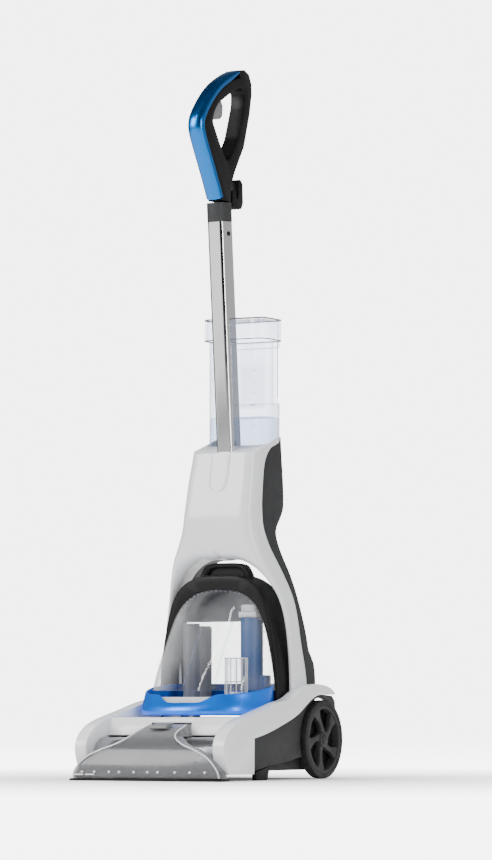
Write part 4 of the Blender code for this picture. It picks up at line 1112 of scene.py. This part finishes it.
def tyre(side, label):
    """A tyre with a crowned tread cut by fine cross grooves."""
    low, high = side * 0.1186, side * 0.1336
    edge = ((0.0533, 0.0), (0.0590, 0.0), (0.0604, 0.0006), (0.0611, 0.0022), (0.0613, 0.0048))
    section = [(r, low + side * inset) for r, inset in edge]
    section += [(r, high - side * inset) for r, inset in reversed(edge)]
    points, groove, every = 120, 0.0007, 4
    rings = []
    for r, x in section:
        ring = []
        for i in range(points):
            turn = 2 * math.pi * i / points
            deep = r - (groove if r > 0.0610 and i % every == 0 else 0.0)
            ring.append((x, WHEEL_Y + deep * math.cos(turn), WHEEL_Z + deep * math.sin(turn)))
        rings.append(ring)
    obj = loft("tyre_tread_" + label, rings, closed=True)
    finish_piece(obj, "tyre", label + "_wheel", "tyre_" + label, slot="tyre", angle=35.0)


# ---------------------------------------------------------------- handle

TRIM_LINE = ((0.0120, 0.9056), (0.0020, 0.9240), (-0.0160, 0.9550), (-0.0330, 0.9830), (-0.0435, 1.0030),
             (-0.0465, 1.0150), (-0.0450, 1.0275), (-0.0385, 1.0400), (-0.0200, 1.0625), (0.0100, 1.0890),
             (0.0450, 1.1085), (0.0700, 1.1180), (0.0850, 1.1212))


def handle_trim():
    """The lacquered front of the loop handle, rounded across and tapered at its upper end."""
    line = catmull(TRIM_LINE, 5)
    crown = ((-1.0, 1.0), (-1.0, 0.70), (-0.97, 0.52), (-0.88, 0.34), (-0.72, 0.19), (-0.52, 0.09),
             (-0.28, 0.02))
    section = (*crown, (0.0, -0.01), *((-x, depth) for x, depth in reversed(crown)), (0.5, 1.0), (-0.5, 1.0))
    rings = []
    last = len(line) - 1
    for k, (y, z) in enumerate(line):
        before, after = line[max(0, k - 1)], line[min(last, k + 1)]
        along = Vector((after[0] - before[0], after[1] - before[1])).normalized()
        inward = Vector((along.y, -along.x))
        share = k / last
        half = 0.0138 - 0.0012 * smooth_step(0.86, 1.0, share)
        deep = 0.0112 - 0.0080 * smooth_step(0.80, 1.0, share)
        rings.append([(half * x, y + inward.x * deep * depth, z + inward.y * deep * depth)
                      for x, depth in section])
    obj = loft("handle_trim_shell", rings)
    finish_piece(obj, "trim", "upper_body", "handle_trim", slot="blue_trim", angle=40.0)


def stem():
    """The chromed stem: an oblong tube with soft corners, leaning forwards as it rises."""
    low, high = Vector((0.070, 0.455)), Vector((0.0335, 0.895))
    along = (high - low).normalized()
    across = Vector((along.y, -along.x))
    corners = [(0.0150, -0.0170), (0.0150, 0.0170), (-0.0150, 0.0170), (-0.0150, -0.0170)]
    section = softened(corners, 0.0080, 8)
    rings = []
    for t in (0.0, 0.25, 0.5, 0.75, 1.0):
        spot = low.lerp(high, t)
        rings.append([(x, spot.x + across.x * v, spot.y + across.y * v) for x, v in section])
    obj = loft("stem_tube_sleeve", rings)
    finish_piece(obj, "chrome", "upper_body", "stem_tube", slot="chrome", angle=40.0)


# ---------------------------------------------------------------- water tank

def bottle_water():
    """Clean water standing in the bottle, and the level marks on the bottle's front."""
    floor = 0.4935
    rings = [[(x, y, z) for x, y in rounded_box(0.0525, (0.0870, 0.1405 if z < 0.585 else 0.1235), 0.010)]
             for z in (floor, floor + bpy.context.scene.washer_sizes.water_level)]
    water = loft("clean_water", rings)
    bevel(water, 0.0010, 2, 50.0)
    finish_piece(water, "water", "water_tank", slot="clear_bottle", angle=40.0)
    marks = ((0.640, 0.0035), (0.622, 0.0022), (0.604, 0.0035), (0.586, 0.0090), (0.553, 0.0035))
    lines = [cube("tick", (0.0352 - wide, 0.0352), (0.0838, 0.0847), (z, z + 0.0011)) for z, wide in marks]
    ticks = joined("bottle_level_marks", lines)
    bevel(ticks, 0.0002, 1)
    finish_piece(ticks, "grey", "water_tank", slot="clear_bottle")


def bottle_grip():
    """The upright bar behind the bottle's recess, held to lift the bottle, and the recess's side edges."""
    bar = cube("bottle_grip_bar", (-0.0210, 0.0210), (0.1385, 0.1428), (0.5860, 0.6895))
    bevel(bar, 0.0016, 3)
    finish_piece(bar, "bottle", "water_tank", slot="clear_bottle")
    for side, label in SIDES:
        edge = cube("bottle_edge_" + label, (side * 0.0546 - 0.0004, side * 0.0546 + 0.0004),
                    (0.1228, 0.1240), (0.5990, 0.6880))
        bevel(edge, 0.0003, 2)
        finish_piece(edge, "grey", "water_tank", slot="clear_bottle")


def lid_lines():
    """The grey gasket under the bottle's lid and the rim along its top."""
    for name, half, span, z in (("lid_gasket", 0.0562, (0.0752, 0.1428), (0.6902, 0.6918)),
                                ("lid_rim", 0.0560, (0.0752, 0.1428), (0.7228, 0.7248))):
        outer = rounded_box(half, span, 0.010)
        inner = rounded_box(half - 0.0022, (span[0] + 0.0022, span[1] - 0.0022), 0.008)
        obj = ring_slab(name, outer, inner, "Z", z)
        bevel(obj, 0.0004, 2)
        finish_piece(obj, "grey", "water_lid", slot="clear_bottle")


# ---------------------------------------------------------------- operators

class Builder:
    """What the build operators share: each runs its own build and says when it is done."""
    bl_options = {"REGISTER", "UNDO"}

    def execute(self, context):
        self.build(context)
        return {"FINISHED"}


class WASHER_OT_finishes(Builder, bpy.types.Operator):
    """Makes the node materials"""
    bl_idname = "washer.finishes"
    bl_label = "Finishes"

    def build(self, context):
        make_finishes()


class WASHER_OT_hidden_parts(Builder, bpy.types.Operator):
    """Paints the inner parts, which keep their CAD form"""
    bl_idname = "washer.hidden_parts"
    bl_label = "Inner parts"

    def build(self, context):
        for node in ("brush_bearing_left", "brush_bearing_right", "brush_motor", "drive_belt", "spray_bar",
                     "water_pump", "suction_duct", "motor_pulley", "suction_fan", "suction_motor",
                     "motor_housing", "trigger_pin", "trigger_rod", "hook_pin", "tank_valve", "axle_right",
                     "axle_left", "pivot_pin_right", "pivot_pin_left"):
            paint_node(node)


class WASHER_OT_floor_head(Builder, bpy.types.Operator):
    """Moulds the floor head"""
    bl_idname = "washer.floor_head"
    bl_label = "Floor head"

    def build(self, context):
        floor_shell()
        roller_cover()
        for node in ("chassis", "side_cover_right", "side_cover_left", "suction_lip", "rear_cover",
                     "recline_pedal"):
            refined(node, 0.0010)
        for node in ("skid_right", "skid_left"):
            refined(node, 0.0010, finish="black")


class WASHER_OT_nozzle(Builder, bpy.types.Operator):
    """Moulds the clear nozzle and its latch"""
    bl_idname = "washer.nozzle"
    bl_label = "Nozzle"

    def build(self, context):
        refined("nozzle_cover", 0.0006, finish="nozzle")
        refined("nozzle_latch", 0.0006)
        nozzle_trim()
        for side, label in SIDES:
            nozzle_bead(side, label)


class WASHER_OT_brush(Builder, bpy.types.Operator):
    """Makes the brush roll"""
    bl_idname = "washer.brush"
    bl_label = "Brush roll"

    def build(self, context):
        refined("brush_roll", 0.0)
        brush_tufts()


class WASHER_OT_wheels(Builder, bpy.types.Operator):
    """Makes the rear wheels"""
    bl_idname = "washer.wheels"
    bl_label = "Wheels"

    def build(self, context):
        for side, label in SIDES:
            wheel(side, label)
            tyre(side, label)


class WASHER_OT_recovery_tank(Builder, bpy.types.Operator):
    """Makes the recovery tank: dome, blue base, hood and inner tubes"""
    bl_idname = "washer.recovery_tank"
    bl_label = "Recovery tank"

    def build(self, context):
        tank_dome()
        tank_base()
        tank_hood()
        tank_inside()


class WASHER_OT_upper_body(Builder, bpy.types.Operator):
    """Moulds the upper body"""
    bl_idname = "washer.upper_body"
    bl_label = "Upper body"

    def build(self, context):
        upper_body()
        neck_boss()
        for node in ("cord_hook_lower", "cord_gland", "power_button"):
            refined(node, 0.0012)


class WASHER_OT_water_tank(Builder, bpy.types.Operator):
    """Makes the clean water tank"""
    bl_idname = "washer.water_tank"
    bl_label = "Water tank"

    def build(self, context):
        refined("clean_tank", 0.0008)
        refined("clean_tank_lid", 0.001)
        bottle_water()
        bottle_grip()
        lid_lines()


class WASHER_OT_handle(Builder, bpy.types.Operator):
    """Makes the stem, its button, collar, grip, trim, trigger and upper hook"""
    bl_idname = "washer.handle"
    bl_label = "Handle"

    def build(self, context):
        stem()
        handle_trim()
        refined("handle_grip", 0.0024)
        for node in ("neck_collar", "trigger", "cord_hook_upper", "stem_button"):
            refined(node, 0.0008)


class WASHER_OT_stage(Builder, bpy.types.Operator):
    """Sets the floor, the soft lights and the camera"""
    bl_idname = "washer.stage"
    bl_label = "Stage"

    def build(self, context):
        mat = studio_white(tuple(context.scene.washer_colours.floor))
        deselect()
        bpy.ops.mesh.primitive_plane_add(size=1.0, location=(0.0, 0.0, 0.0))
        floor = named("studio_floor")
        floor.scale = (18.0, 18.0, 1.0)
        settle(floor)
        floor.data.materials.append(mat)
        smooth(floor, 40.0)
        target = Vector((0.0, 0.0, 0.5))
        lamps = (("key", (-2.6, -3.4, 2.6), 2.0, 2.6, 150.0), ("fill", (3.8, -2.2, 1.7), 0.7, 3.0, 80.0),
                 ("top", (0.0, 0.4, 4.0), 2.4, 2.4, 130.0), ("rim", (-2.8, 2.6, 2.2), 1.2, 2.6, 60.0),
                 ("strip", (-1.0, -2.4, 2.5), 0.10, 2.4, 16.0))
        for name, place, wide, tall, power in lamps:
            deselect()
            bpy.ops.object.light_add(type="AREA", location=place)
            lamp = bpy.context.object
            lamp.name = "studio_" + name
            lamp.data.shape = "RECTANGLE"
            lamp.data.size = wide
            lamp.data.size_y = tall
            lamp.data.energy = power
            lamp.visible_glossy = name not in ("top", "rim")
            lamp.rotation_euler = (target - Vector(place)).to_track_quat("-Z", "Y").to_euler()
        context.scene.world = studio_world()
        eye = Vector((3.015, -5.188, 0.105))
        aim = Vector((0.0508, 0.0295, 0.5427))
        bpy.ops.object.camera_add(location=eye, rotation=(aim - eye).to_track_quat("-Z", "Y").to_euler())
        camera = bpy.context.object
        camera.name = "studio_camera"
        camera.data.lens = 161.45
        camera.data.sensor_width = 36.0
        camera.data.sensor_fit = "AUTO"
        camera.data.clip_end = 100.0
        context.scene.camera = camera


class WASHER_PT_panel(bpy.types.Panel):
    """Lists the build steps and their sizes and colours"""
    bl_idname = "WASHER_PT_panel"
    bl_label = "Carpet Washer"
    bl_space_type = "VIEW_3D"
    bl_region_type = "UI"
    bl_category = "Washer"

    def draw(self, context):
        layout = self.layout
        for step in STEPS:
            layout.operator(step.bl_idname)
        sizes = context.scene.washer_sizes
        colours = context.scene.washer_colours
        for group in (sizes, colours):
            column = layout.column(align=True)
            for name in group.__annotations__:
                column.prop(group, name)


STEPS = (WASHER_OT_finishes, WASHER_OT_hidden_parts, WASHER_OT_floor_head, WASHER_OT_nozzle, WASHER_OT_brush,
         WASHER_OT_wheels, WASHER_OT_recovery_tank, WASHER_OT_upper_body, WASHER_OT_water_tank,
         WASHER_OT_handle, WASHER_OT_stage)
CLASSES = (WasherSizes, WasherColours, *STEPS, WASHER_PT_panel)


def register():
    for cls in CLASSES:
        bpy.utils.register_class(cls)
    bpy.types.Scene.washer_sizes = PointerProperty(type=WasherSizes)
    bpy.types.Scene.washer_colours = PointerProperty(type=WasherColours)


def unregister():
    del bpy.types.Scene.washer_colours
    del bpy.types.Scene.washer_sizes
    for cls in reversed(CLASSES):
        bpy.utils.unregister_class(cls)


def main():
    register()
    for step in STEPS:
        group, name = step.bl_idname.split(".")
        getattr(getattr(bpy.ops, group), name)()


if __name__ == "__main__":
    main()
